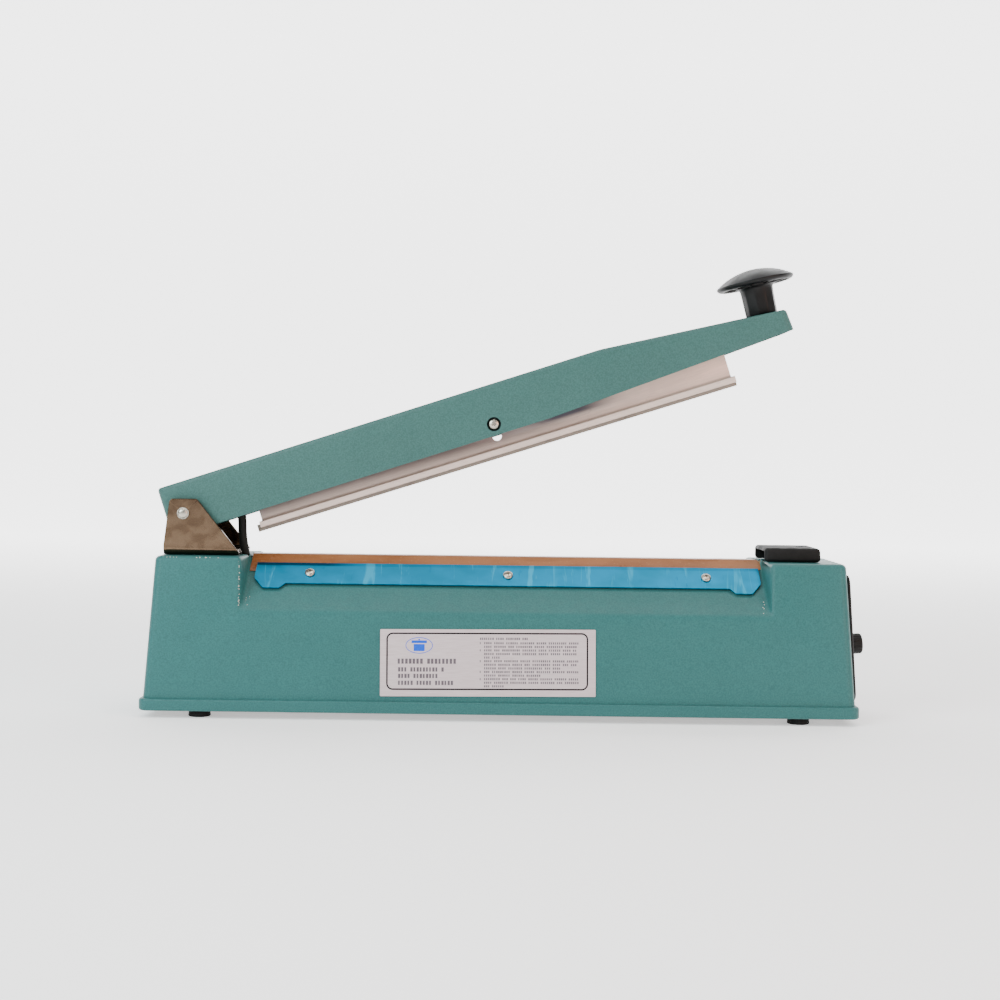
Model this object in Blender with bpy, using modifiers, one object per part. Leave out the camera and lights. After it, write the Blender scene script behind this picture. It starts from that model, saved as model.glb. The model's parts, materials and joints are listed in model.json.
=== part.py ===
"""Hand-operated impulse heat sealer, 300 mm class, built as an assembly of separate pieces.

The base holds the heated sealing bed, a spring-loaded arm turns on a pin in the hinge bracket, and a
sprung press bar floats inside the arm. The arm is shown open, as it rests. +X runs along the machine to
the control panel, -Y is the operator's side and +Z is up. Sizes are in millimetres; the shape helpers
turn them into metres. Arm pieces use the arm's own axes, from the hinge pin: u along the arm, w up.
"""
import math

import bmesh
import bpy
from mathutils import Euler, Matrix, Vector

MM = 0.001
GAP = 0.3  # clearance between pieces that touch

# Base casting
BASE_LEFT, BASE_RIGHT = -221.5, 212.4
BASE_HALF_DEPTH = 42.5
BASE_BOTTOM, FLANGE_TOP, BLOCK_TOP = 4.3, 11.7, 97.0
WALL = 3.0
FLANGE_CORNER, WALL_CORNER, ARRIS = 6.0, 5.0, 2.6
FLANGE_STEP = 2.1
SIDE_DRAFT = 3.7
END_DRAFT = 3.9
WALL_HALF_DEPTH = BASE_HALF_DEPTH - FLANGE_STEP
RECESS_FLOOR = 64.3
RIDGE_TOP, RIDGE_HALF_WIDTH = 94.5, 6.9
RECESS_LEFT, RECESS_RIGHT = -161.2, 158.8
RECESS_LEFT_INNER, RECESS_RIGHT_INNER = -160.0, 156.6
REAR_RECESS_LEFT, REAR_RECESS_RIGHT = -155.5, 151.0
CABLE_HOLE_X, CABLE_HOLE_Y, CABLE_RADIUS = -162.3, -2.6, 2.65
GLAND_X, GLAND_Z = 120.0, 32.0

# Sealing bed stack, from the ridge up
BED_THICK, ELEMENT_THICK, TAPE_THICK, PLATE_THICK = 1.6, 0.25, 0.4, 1.0
TAPE_TOP = RIDGE_TOP + GAP + BED_THICK + GAP + ELEMENT_THICK + GAP + TAPE_THICK + 0.15
TAPE_LEFT, TAPE_RIGHT = -157.8, 151.6
TAPE_HEM_Z = 84.0
PLATE_LEFT, PLATE_RIGHT = -154.3, 153.9
PLATE_TOP_Z, PLATE_LOW_Z, PLATE_TAB_Z = 91.0, 79.3, 76.6
PLATE_TAB_LENGTH = 15.0
REAR_PLATE_HALF = 149.5
CLAMP_SCREW_X = (-121.3, 0.0, 121.3)
CLAMP_SCREW_Z = 85.0

# Cover over the right terminal
COVER_LEFT, COVER_RIGHT, COVER_HALF, COVER_TOP = 156.6, 191.2, 21.0, 105.8
COVER_SCREW_X = 182.0

# Hinge
PIVOT_X, PIVOT_Z = -198.1, 122.5
OPEN_ANGLE = 17.8
PIN_RADIUS = 3.0
BRACKET_LEFT, BRACKET_RIGHT = -209.9, -164.3
BRACKET_HALF_WIDTH, BRACKET_SHEET = 25.0, 2.0
BRACKET_BOTTOM, EAR_TOP = BLOCK_TOP + GAP, 131.4
BRACKET_SCREW_X = (-200.0, -176.0)
STOP_TAB_X, STOP_TAB_TOP = (-206.8, -204.8), 106.6

# Arm, in its own axes
ARM_REAR, ARM_TIP = -12.0, 388.1
ARM_HALF_WIDTH, ARM_WALL = 21.0, 2.2
ARM_TOP_REAR, ARM_TOP_KNEE, ARM_TOP_TIP = 19.0, 21.0, 11.2
ARM_KNEE_U, ARM_BELLY_U = 272.0, 230.0
ARM_LOW_REAR, ARM_LOW_BELLY, ARM_LOW_TIP = -12.2, -10.2, -1.9
TIP_SLOPE = math.atan2(ARM_TOP_KNEE - ARM_TOP_TIP, ARM_TIP - ARM_KNEE_U)

# Press bar, in the arm's axes
BAR_U0, BAR_U1 = 40.4, 347.3
WEB_U0, WEB_U1 = 42.0, 345.2
BAR_FLANGE_TOP, BAR_FLANGE_LOW, STRIP_LOW = -18.4, -22.3, -24.4
BAR_WEB_TOP, GROOVE_TOP = 3.0, -19.7
BAR_FLANGE_HALF, WEB_HALF, WEB_WALL = 9.0, 6.0, 1.6
STRIP_HALF = 4.0
BOLT_U, BOLT_W = 196.6, -3.6
BUSH_RADIUS = 3.0
SPRING_U = (118.0, 275.0)

# Switch under the arm's top, in the arm's axes
SWITCH_U, SWITCH_W, SWITCH_Y = 68.0, 11.4, 4.9
LEVER_LONG, LEVER_DROOP = 14.0, 28.0

# Handle
HANDLE_U = 375.5
NECK_RADIUS, CAP_RADIUS = 10.0, 24.0
CAP_RIM, CAP_DOME = 21.2, 7.9

# Controls
PANEL_THICK = 2.6
PANEL_HALF_WIDTH = 28.0
PANEL_LOW, PANEL_TOP = 13.0, 90.0
PANEL_MIDDLE = 0.5 * (PANEL_LOW + PANEL_TOP)
KNOB_RADIUS, KNOB_Z, KNOB_END = 6.4, 45.2, 221.5
LAMP_Z = 68.0

FOOT_RADIUS, FOOT_Y = 7.25, 30.0
FOOT_X = (-186.0, 177.0)

# Rating label on the front wall
LABEL_X, LABEL_Z = -11.5, 35.4
LABEL_LONG, LABEL_HIGH, LABEL_TURN = 129.5, 40.2, 0.55

# Transformer
TRANSFORMER_X, CORE_LOW, CORE_HIGH = 62.0, 7.6, 54.6
CORE_HALF, CORE_STACK = 28.0, 14.0


# ---------------------------------------------------------------- scene and helpers

def clear_scene():
    """Remove every object, so that the model starts from an empty scene."""
    for item in list(bpy.data.objects):
        bpy.data.objects.remove(item, do_unlink=True)


def new_collection(name):
    group = bpy.data.collections.new(name)
    bpy.context.scene.collection.children.link(group)
    return group


def material(name, colour, roughness, metallic=0.0):
    """A plain Principled material."""
    finish = bpy.data.materials.new(name)
    finish.use_nodes = True
    shader = finish.node_tree.nodes["Principled BSDF"]
    shader.inputs["Base Color"].default_value = (*colour, 1.0)
    shader.inputs["Roughness"].default_value = roughness
    shader.inputs["Metallic"].default_value = metallic
    finish.diffuse_color = (*colour, 1.0)
    return finish


clear_scene()
MODEL = new_collection("impulse_heat_sealer")
CUTTERS = new_collection("cutters")

PAINT = material("hammertone_paint", (0.095, 0.255, 0.240), 0.50)
ZINC = material("zinc_plate", (0.62, 0.58, 0.54), 0.22, 1.0)
STEEL = material("screw_steel", (0.66, 0.64, 0.61), 0.30, 1.0)
ALUMINIUM = material("aluminium", (0.68, 0.64, 0.61), 0.38, 1.0)
SILICONE = material("silicone", (0.50, 0.44, 0.38), 0.60)
TAPE = material("ptfe_glass_tape", (0.30, 0.145, 0.062), 0.42)
FILM = material("blue_film_plate", (0.022, 0.27, 0.40), 0.28)
BLACK = material("black_plastic", (0.022, 0.022, 0.023), 0.38)
RUBBER = material("black_rubber", (0.012, 0.012, 0.013), 0.70)
BRASS = material("brass", (0.60, 0.43, 0.18), 0.30, 1.0)
NICHROME = material("nichrome", (0.50, 0.47, 0.44), 0.35, 1.0)
BOARD = material("circuit_board", (0.03, 0.16, 0.06), 0.50)
COPPER = material("coil_tape", (0.55, 0.33, 0.06), 0.50)
IRON = material("core_iron", (0.20, 0.20, 0.21), 0.45, 1.0)
RED = material("red_lens", (0.55, 0.02, 0.015), 0.15)
LABEL = material("label_foil", (0.56, 0.52, 0.52), 0.35, 0.3)


def place(item, finish, group=MODEL, parent=None):
    """Link an object into a collection, and give it its finish and its parent."""
    group.objects.link(item)
    if finish is not None:
        item.data.materials.append(finish)
    if parent is not None:
        item.parent = parent
    return item


def axis_turn(axis):
    """Rotation that lays a shape made along local +Z onto the named axis."""
    turns = {"X": (0.0, math.pi / 2, 0.0), "Y": (-math.pi / 2, 0.0, 0.0), "Z": (0.0, 0.0, 0.0)}
    return Euler(turns[axis])


def box(name, x, y, z, finish=None, bevel=0.0, group=MODEL, parent=None):
    """A block between the limits of x, y and z, with its edges rounded by bevel."""
    shape = bmesh.new()
    bmesh.ops.create_cube(shape, size=1.0)
    size = Vector((x[1] - x[0], y[1] - y[0], z[1] - z[0])) * MM
    bmesh.ops.scale(shape, vec=size, verts=shape.verts)
    mesh = bpy.data.meshes.new(name)
    shape.to_mesh(mesh)
    shape.free()
    item = bpy.data.objects.new(name, mesh)
    item.location = Vector((x[0] + x[1], y[0] + y[1], z[0] + z[1])) * 0.5 * MM
    place(item, finish, group, parent)
    if bevel:
        round_edges(item, bevel)
    return item


def cylinder(name, centre, radius, length, axis, finish=None, sides=24, top=None, group=MODEL, parent=None):
    """A cylinder, or a cone when top gives the radius at its far end, centred on centre."""
    shape = bmesh.new()
    far = radius if top is None else top
    bmesh.ops.create_cone(shape, cap_ends=True, segments=sides, radius1=radius * MM, radius2=far * MM,
                          depth=length * MM)
    mesh = bpy.data.meshes.new(name)
    shape.to_mesh(mesh)
    shape.free()
    item = bpy.data.objects.new(name, mesh)
    item.location = Vector(centre) * MM
    item.rotation_euler = axis_turn(axis)
    place(item, finish, group, parent)
    smooth(item)
    return item


def smooth(item, angle=35.0):
    item.data.shade_smooth()
    item.data.set_sharp_from_angle(angle=math.radians(angle))


def round_edges(item, width, segments=2, angle=30.0):
    """A bevel on every edge sharper than angle."""
    bevel = item.modifiers.new("rounded_edges", "BEVEL")
    bevel.width = width * MM
    bevel.segments = segments
    bevel.limit_method = "ANGLE"
    bevel.angle_limit = math.radians(angle)
    return bevel


def boolean(item, other, operation):
    step = item.modifiers.new(operation.lower(), "BOOLEAN")
    step.operation = operation
    step.solver = "EXACT"
    step.object = other
    other.hide_render = True
    other.display_type = "WIRE"
    return item


def cut(item, *cutters):
    for cutter in cutters:
        boolean(item, cutter, "DIFFERENCE")
    return item


def join(item, *others):
    for other in others:
        boolean(item, other, "UNION")
    return item


def mesh_from_curve(curve_item, finish, group=MODEL, parent=None):
    """Turn a filled curve into a welded mesh object of the same name, and remove the curve."""
    name = curve_item.name
    bpy.context.scene.collection.objects.link(curve_item)
    bpy.context.view_layer.update()
    graph = bpy.context.evaluated_depsgraph_get()
    mesh = bpy.data.meshes.new_from_object(curve_item.evaluated_get(graph))
    shape = bmesh.new()
    shape.from_mesh(mesh)
    bmesh.ops.remove_doubles(shape, verts=shape.verts, dist=1e-6)
    shape.to_mesh(mesh)
    shape.free()
    matrix = curve_item.matrix_world.copy()
    bpy.data.objects.remove(curve_item, do_unlink=True)
    item = bpy.data.objects.new(name, mesh)
    item.matrix_world = matrix
    mesh.name = name
    return place(item, finish, group, parent)


def outline(name, points, plane, span, finish=None, group=MODEL, parent=None):
    """A flat outline, given as points in the named plane, made solid over span on the third axis."""
    curve = bpy.data.curves.new(name, "CURVE")
    curve.dimensions = "2D"
    curve.fill_mode = "BOTH"
    curve.extrude = 0.5 * (span[1] - span[0]) * MM
    spline = curve.splines.new("POLY")
    spline.points.add(len(points) - 1)
    for point, (a, b) in zip(spline.points, points):
        point.co = (a * MM, b * MM, 0.0, 1.0)
    spline.use_cyclic_u = True
    item = bpy.data.objects.new(name, curve)
    middle = 0.5 * (span[0] + span[1]) * MM
    if plane == "XZ":
        upright = Matrix.Rotation(math.pi / 2, 4, "X")
        item.matrix_world = Matrix.Translation((0, middle, 0)) @ upright
    elif plane == "YZ":
        turn = Euler((math.pi / 2, 0, math.pi / 2)).to_matrix().to_4x4()
        item.matrix_world = Matrix.Translation((middle, 0, 0)) @ turn
    else:
        item.matrix_world = Matrix.Translation((0, 0, middle))
    return mesh_from_curve(item, finish, group, parent)


def fillet(points, radius, steps=3, only=None):
    """Round the corners of a closed outline, all of them or those whose numbers are in only."""
    result = []
    count = len(points)
    for index, corner in enumerate(points):
        here = Vector(corner)
        if only is not None and index not in only:
            result.append(tuple(here))
            continue
        before = (Vector(points[index - 1]) - here).normalized()
        after = (Vector(points[(index + 1) % count]) - here).normalized()
        half = before.angle(after) / 2
        reach = radius / math.tan(half)
        centre = here + (before + after).normalized() * radius / math.sin(half)
        start = here + before * reach - centre
        sweep = (here + after * reach - centre)
        turn = math.atan2(start.x * sweep.y - start.y * sweep.x, start.dot(sweep))
        for step in range(steps + 1):
            angle = turn * step / steps
            c, s = math.cos(angle), math.sin(angle)
            result.append((centre.x + start.x * c - start.y * s, centre.y + start.x * s + start.y * c))
    return result


def slot_outline(centre, half_width, low, high, steps=6):
    """A round-ended upright slot."""
    points = []
    for base, middle in ((0.0, high - half_width), (math.pi, low + half_width)):
        for step in range(steps + 1):
            angle = base + math.pi * step / steps
            points.append((centre + half_width * math.cos(angle), middle + half_width * math.sin(angle)))
    return points


def turned(name, profile, centre, axis, finish=None, sides=16, group=MODEL, parent=None):
    """A turned shape: profile is (radius, height) from its top to its bottom, closed on the axis."""
    mesh = bpy.data.meshes.new(name)
    shape = bmesh.new()
    rail = [shape.verts.new((radius * MM, 0.0, height * MM)) for radius, height in profile]
    for first, second in zip(rail, rail[1:]):
        shape.edges.new((first, second))
    if profile[0][0] > 0.0:
        shape.edges.new((rail[-1], rail[0]))
    shape.to_mesh(mesh)
    shape.free()
    item = bpy.data.objects.new(name, mesh)
    item.location = Vector(centre) * MM
    item.rotation_euler = axis_turn(axis)
    place(item, finish, group, parent)
    screw = item.modifiers.new("turn", "SCREW")
    screw.steps = sides
    screw.render_steps = sides
    screw.use_merge_vertices = True
    screw.merge_threshold = 1e-6
    return item


def wire(name, points, radius, finish=None, resolution=1, parent=None):
    """A round wire through points, with closed ends."""
    curve = bpy.data.curves.new(name, "CURVE")
    curve.dimensions = "3D"
    curve.bevel_depth = radius * MM
    curve.bevel_resolution = resolution
    curve.use_fill_caps = True
    spline = curve.splines.new("POLY")
    spline.points.add(len(points) - 1)
    for point, place_mm in zip(spline.points, points):
        point.co = (*(Vector(place_mm) * MM), 1.0)
    item = bpy.data.objects.new(name, curve)
    return place(item, finish, MODEL, parent)


def smooth_route(points, count):
    """Points read at equal steps from a Catmull-Rom curve through the route's own points."""
    knots = [Vector(point) for point in points]
    knots = [2 * knots[0] - knots[1]] + knots + [2 * knots[-1] - knots[-2]]
    result = []
    for step in range(count):
        position = step * (len(points) - 1) / (count - 1)
        index = min(int(position), len(points) - 2)
        t = position - index
        a, b, c, d = knots[index:index + 4]
        result.append(0.5 * (2 * b + (c - a) * t + (2 * a - 5 * b + 4 * c - d) * t * t
                             + (3 * b - a - 3 * c + d) * t ** 3))
    return result


def coil(centre, radius, low, high, turns, per_turn=8):
    """Points along a coil spring that stands on end round centre."""
    points = []
    total = turns * per_turn
    for step in range(total + 1):
        angle = 2 * math.pi * step / per_turn
        along = low + (high - low) * step / total
        offset = (radius * math.cos(angle), radius * math.sin(angle), along)
        points.append(tuple(c + o for c, o in zip(centre, offset)))
    return points


def pan_screw(name, head, radius, head_high, shank_radius, shank_long, tilt=(0, 0, 0), parent=None):
    """A pan-head screw with a cross recess: head is the place of its seat, and +Z its outer side."""
    profile = [(0.0, head_high), (radius * 0.7, head_high), (radius, head_high * 0.5), (radius, 0.0),
               (shank_radius, 0.0), (shank_radius, -shank_long), (0.0, -shank_long)]
    item = turned(name, profile, head, "Z", STEEL, 10, parent=parent)
    item.rotation_euler = Euler(tilt)
    blades = []
    for index, (a, b) in enumerate(((0.52, 0.12), (0.12, 0.52))):
        blade = box(f"{name}_recess_{index}", (-radius * a, radius * a), (-radius * b, radius * b),
                    (head_high * 0.35, head_high + 1.0), group=CUTTERS, parent=item)
        blades.append(blade)
    return cut(item, *blades)


# ---------------------------------------------------------------- base

def drafted_block(name, x, y, z, end_draft, side_draft, finish=None, group=MODEL):
    """A block whose four walls lean inwards towards its top; x and y are its limits at the bottom."""
    item = box(name, x, y, z, finish, group=group)
    height = (z[1] - z[0]) * MM
    lean_x = height * math.tan(math.radians(end_draft))
    lean_y = height * math.tan(math.radians(side_draft))
    for vertex in item.data.vertices:
        if vertex.co.z > 0:
            vertex.co.x -= math.copysign(lean_x, vertex.co.x)
            vertex.co.y -= math.copysign(lean_y, vertex.co.y)
    return item


def round_uprights(item, width, segments=3):
    """A bevel on the edges that run up the walls only."""
    weights = item.data.attributes.new("bevel_weight_edge", "FLOAT", "EDGE")
    for edge in item.data.edges:
        a, b = (item.data.vertices[index].co for index in edge.vertices)
        weights.data[edge.index].value = 1.0 if abs(a.z - b.z) > 0.002 else 0.0
    bevel = item.modifiers.new("rounded_corners", "BEVEL")
    bevel.width = width * MM
    bevel.segments = segments
    bevel.limit_method = "WEIGHT"
    return item


def slope_y(z):
    """Half-depth of the recess's 45 degree slope at height z."""
    return RIDGE_HALF_WIDTH + RIDGE_TOP - z


def recess_cutter(name):
    """Everything above the front slope, the ridge and the rear slope, between the end blocks."""
    shape = bmesh.new()
    past, foot = BASE_HALF_DEPTH + 4, slope_y(RECESS_FLOOR)
    front, rear = (RECESS_LEFT, RECESS_RIGHT), (REAR_RECESS_LEFT, REAR_RECESS_RIGHT)
    ridge = (RECESS_LEFT_INNER, RECESS_RIGHT_INNER)
    stations = ((-past, RECESS_FLOOR, front), (-foot, RECESS_FLOOR, front),
                (-RIDGE_HALF_WIDTH, RIDGE_TOP, ridge), (RIDGE_HALF_WIDTH, RIDGE_TOP, ridge),
                (foot, RECESS_FLOOR, rear), (past, RECESS_FLOOR, rear))
    rows = []
    for y, low, (x0, x1) in stations:
        corners = [(x0, low), (x1, low), (x1, BLOCK_TOP + 8), (x0, BLOCK_TOP + 8)]
        rows.append([shape.verts.new((x * MM, y * MM, z * MM)) for x, z in corners])
    for first, second in zip(rows, rows[1:]):
        for index in range(4):
            after = (index + 1) % 4
            shape.faces.new((first[index], first[after], second[after], second[index]))
    shape.faces.new(rows[0])
    shape.faces.new(rows[-1])
    bmesh.ops.recalc_face_normals(shape, faces=shape.faces)
    mesh = bpy.data.meshes.new(name)
    shape.to_mesh(mesh)
    shape.free()
    return place(bpy.data.objects.new(name, mesh), None, CUTTERS)


def ridge_cavity(name):
    """The hollow under the slopes and the ridge, one wall thickness inside them."""
    apex = RIDGE_TOP + RIDGE_HALF_WIDTH - WALL * math.sqrt(2)
    top_z, foot_y = RIDGE_TOP - WALL, WALL_HALF_DEPTH - WALL - 3.4
    half = [(foot_y, 20.0), (foot_y, apex - foot_y), (apex - top_z, top_z)]
    points = half + [(-y, z) for y, z in reversed(half)]
    return outline(name, points, "YZ", (RECESS_LEFT - 8, RECESS_RIGHT + 8), group=CUTTERS)


def make_base():
    """The painted casting: drafted walls on a flange, two end blocks and a ridge between slopes."""
    flange = box("base_housing", (BASE_LEFT, BASE_RIGHT), (-BASE_HALF_DEPTH, BASE_HALF_DEPTH),
                 (BASE_BOTTOM, FLANGE_TOP), PAINT)
    round_uprights(flange, FLANGE_CORNER)
    body = drafted_block("base_walls", (BASE_LEFT + FLANGE_STEP, BASE_RIGHT - FLANGE_STEP),
                         (-WALL_HALF_DEPTH, WALL_HALF_DEPTH), (FLANGE_TOP - 3, BLOCK_TOP),
                         END_DRAFT, SIDE_DRAFT, group=CUTTERS)
    round_uprights(body, WALL_CORNER)
    cut(body, recess_cutter("bed_recess"))
    round_edges(body, ARRIS, 2, 40.0)
    join(flange, body)
    inner_x = (BASE_LEFT + FLANGE_STEP + WALL, BASE_RIGHT - FLANGE_STEP - WALL)
    inner_y = WALL_HALF_DEPTH - WALL
    cut(flange,
        drafted_block("lower_cavity", inner_x, (-inner_y, inner_y), (BASE_BOTTOM - 2, RECESS_FLOOR - 5.0),
                      END_DRAFT, SIDE_DRAFT, group=CUTTERS),
        drafted_block("left_block_cavity", (inner_x[0] + 3.4, RECESS_LEFT - WALL),
                      (-inner_y + 3, inner_y - 3), (50, BLOCK_TOP - WALL), END_DRAFT, SIDE_DRAFT,
                      group=CUTTERS),
        drafted_block("right_block_cavity", (RECESS_RIGHT + WALL, inner_x[1] - 3.4),
                      (-inner_y + 3, inner_y - 3), (50, BLOCK_TOP - WALL), END_DRAFT, SIDE_DRAFT,
                      group=CUTTERS),
        ridge_cavity("ridge_cavity"))
    add_base_openings(flange)
    smooth(flange)
    return flange


def wall_x(z):
    """Outer face of the right end wall at height z."""
    return BASE_RIGHT - FLANGE_STEP - (z - FLANGE_TOP + 3) * math.tan(math.radians(END_DRAFT))


def wall_y(z):
    """Outer half-depth of the front wall at height z."""
    return WALL_HALF_DEPTH - (z - FLANGE_TOP + 3) * math.tan(math.radians(SIDE_DRAFT))


def add_base_openings(base):
    """Holes for the switch cable, the terminals, the controls, the power cord and the screws."""
    cut(base,
        cylinder("cable_hole", (CABLE_HOLE_X, CABLE_HOLE_Y, BLOCK_TOP - 4), 4.3, 24, "Z", group=CUTTERS),
        box("panel_hole", (190.0, 220.0), (-20.0, 20.0), (24.0, 80.0), group=CUTTERS),
        cylinder("gland_hole", (GLAND_X, 36.0, GLAND_Z), 5.6, 20, "Y", group=CUTTERS),
        cylinder("cover_screw_hole", (COVER_SCREW_X, 0, BLOCK_TOP), 1.9, 16, "Z", group=CUTTERS))
    for number, x in enumerate(BRACKET_SCREW_X):
        cut(base, cylinder(f"bracket_screw_hole_{number}", (x, 0, BLOCK_TOP), 2.4, 16, "Z", group=CUTTERS))


def make_bottom():
    """The sheet bottom plate inside the flange, the four rubber feet and the screws through them."""
    plate = box("bottom_plate", (-213.5, 202.5), (-35.0, 35.0), (BASE_BOTTOM, BASE_BOTTOM + 1.5), STEEL)
    seat = 2.2
    top = BASE_BOTTOM - GAP
    profile = [(FOOT_RADIUS - 1.2, top), (FOOT_RADIUS - 0.5, 1.0), (FOOT_RADIUS - 1.0, 0.0), (4.4, 0.0),
               (4.4, seat), (1.9, seat), (1.9, top)]
    for name, x, y in foot_places():
        cut(plate, cylinder(f"{name}_plate_hole", (x, y, BASE_BOTTOM), 1.9, 10, "Z", group=CUTTERS, sides=12))
        smooth(turned(f"foot_{name}", profile, (x, y, 0), "Z", RUBBER, 14))
        pan_screw(f"foot_screw_{name}", (x, y, seat - GAP), 3.6, 1.4, 1.6, 7.0, (math.pi, 0, 0))
    return plate


def foot_places():
    """Names and places of the four feet."""
    sides = (("left", FOOT_X[0]), ("right", FOOT_X[1]))
    depths = (("front", -FOOT_Y), ("rear", FOOT_Y))
    return [(f"{depth}_{side}", x, y) for side, x in sides for depth, y in depths]


# ---------------------------------------------------------------- sealing bed

def bed_level(*below):
    """Height of the underside of a layer that lies on the layers named below it."""
    return RIDGE_TOP + GAP + sum(thick + GAP for thick in below)


def make_bed():
    """Insulating bed strip and the flat nichrome element that lies along it."""
    level = bed_level()
    box("seal_bed_strip", (-151.0, 149.0), (-4.6, 4.6), (level, level + BED_THICK), SILICONE, 0.3)
    level = bed_level(BED_THICK)
    box("heating_element", (-154.0, 161.0), (-1.4, 1.4), (level, level + ELEMENT_THICK), NICHROME)


def tape_outline():
    """Section of the tape over the ridge: flat on top, then down both slopes."""
    reach = (TAPE_THICK + 0.15) * math.sqrt(2)
    outer_top = TAPE_TOP
    outer_corner = RIDGE_HALF_WIDTH + GAP * 1.5 + reach - (outer_top - RIDGE_TOP)
    inner_top = TAPE_TOP - TAPE_THICK
    inner_corner = outer_corner - TAPE_THICK * 0.41
    low = TAPE_HEM_Z
    drop_out = outer_top - low
    drop_in = inner_top - low
    right = [(outer_corner, outer_top), (outer_corner + drop_out, low),
             (inner_corner + drop_in, low), (inner_corner, inner_top)]
    left = [(-y, z) for y, z in reversed(right)]
    return right + left


def make_tape():
    """PTFE-glass tape stretched over the element and the ridge."""
    return outline("ptfe_tape", tape_outline(), "YZ", (TAPE_LEFT, TAPE_RIGHT), TAPE)


def clamp_plate(name, side, finish):
    """A thin plate with tabbed ends that clamps one edge of the tape to its slope."""
    down = math.sqrt(2)
    low = -(PLATE_TOP_Z - PLATE_LOW_Z) * down
    tab = -(PLATE_TOP_Z - PLATE_TAB_Z) * down
    step = low - tab
    left, right = (PLATE_LEFT, PLATE_RIGHT) if side < 0 else (-REAR_PLATE_HALF, REAR_PLATE_HALF)
    points = [(left, 0.0), (left - 0.6, low * 0.75), (left + 5.0, tab), (left + PLATE_TAB_LENGTH, tab),
              (left + PLATE_TAB_LENGTH + step, low), (right - PLATE_TAB_LENGTH - step, low),
              (right - PLATE_TAB_LENGTH, tab), (right - 5.0, tab), (right + 0.6, low * 0.75), (right, 0.0)]
    plate = outline(name, fillet(points, 2.0, 2, (1, 2, 7, 8)), "XY", (0.0, PLATE_THICK), finish)
    stand_off = (0.55 + 0.15) * math.sqrt(2) + GAP
    turn = math.pi / 4
    lift = Vector((0, -math.sin(turn), math.cos(turn))) * stand_off
    seat = Vector((0, -slope_y(PLATE_TOP_Z), PLATE_TOP_Z)) + lift
    middle = Matrix.Translation((0, 0, 0.5 * PLATE_THICK * MM))
    matrix = Matrix.Translation(seat * MM) @ Matrix.Rotation(turn, 4, "X") @ middle
    if side > 0:
        matrix = Matrix.Rotation(math.pi, 4, "Z") @ matrix
    plate.matrix_world = matrix
    screw_down(plate, side, matrix)
    return plate


def screw_down(plate, side, matrix):
    """Three pan-head screws through one clamp plate, with their holes in the plate, tape and base."""
    label = "front" if side < 0 else "rear"
    down = -(PLATE_TOP_Z - CLAMP_SCREW_Z) * math.sqrt(2)
    tilt = matrix.to_euler()
    base, tape = bpy.data.objects["base_housing"], bpy.data.objects["ptfe_tape"]
    for number, x in enumerate(CLAMP_SCREW_X, 1):
        seat = matrix @ (Vector((x, down, PLATE_THICK / 2 + GAP)) * MM)
        screw = pan_screw(f"clamp_screw_{label}_{number}", (0, 0, 0), 3.0, 1.9, 1.3, 9.0)
        screw.location = seat
        screw.rotation_euler = tilt
        drill = cylinder(f"clamp_hole_{label}_{number}", (0, 0, 0), 1.7, 24, "Z", group=CUTTERS, sides=8)
        drill.location = seat
        drill.rotation_euler = tilt
        cut(plate, drill)
        cut(base, drill)
        cut(tape, drill)


def make_terminals():
    """Brass clamps at the ends of the element, the right one drawn outwards by a spring."""
    level = bed_level(BED_THICK)
    left = box("left_terminal", (-157.0, -151.6), (-3.4, 3.4), (RIDGE_TOP + GAP, level - GAP), BRASS, 0.4)
    right = box("right_terminal", (155.6, 169.0), (-4.0, 4.0), (level - 5.2, level - GAP), BRASS, 0.5)
    cut(bpy.data.objects["base_housing"],
        box("right_terminal_way", (149.5, 178.0), (-5.2, 5.2), (level - 6.6, level + 8), group=CUTTERS))
    points = []
    turns, per_turn = 5, 7
    for step in range(turns * per_turn + 1):
        angle = 2 * math.pi * step / per_turn
        along = 169.6 + 6.4 * step / (turns * per_turn)
        points.append((along, 2.6 * math.cos(angle), level - 2.8 + 2.6 * math.sin(angle)))
    wire("terminal_spring", points, 0.35, STEEL)
    return left, right


def make_cover():
    """The black cover over the right terminal, open towards the bed, and its screw."""
    low, high, wall = BLOCK_TOP + GAP, COVER_TOP, 2.2
    cover = box("terminal_cover", (COVER_LEFT, COVER_RIGHT), (-COVER_HALF, COVER_HALF), (low, high), BLACK)
    round_edges(cover, 2.0, 2)
    inner = box("terminal_cover_hollow", (COVER_LEFT - 7.5, COVER_SCREW_X - 5.2),
                (wall - COVER_HALF, COVER_HALF - wall), (low - 3, high - 2.0), group=CUTTERS)
    round_edges(inner, 1.5, 2)
    cut(cover, inner,
        cylinder("cover_counterbore", (COVER_SCREW_X, 0, high), 3.6, 5.0, "Z", group=CUTTERS),
        cylinder("cover_hole", (COVER_SCREW_X, 0, low), 1.9, 30, "Z", group=CUTTERS))
    pan_screw("cover_screw", (COVER_SCREW_X, 0, high - 2.5 + GAP), 3.0, 1.6, 1.5, 12.0)
    return cover


# ---------------------------------------------------------------- hinge

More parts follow.
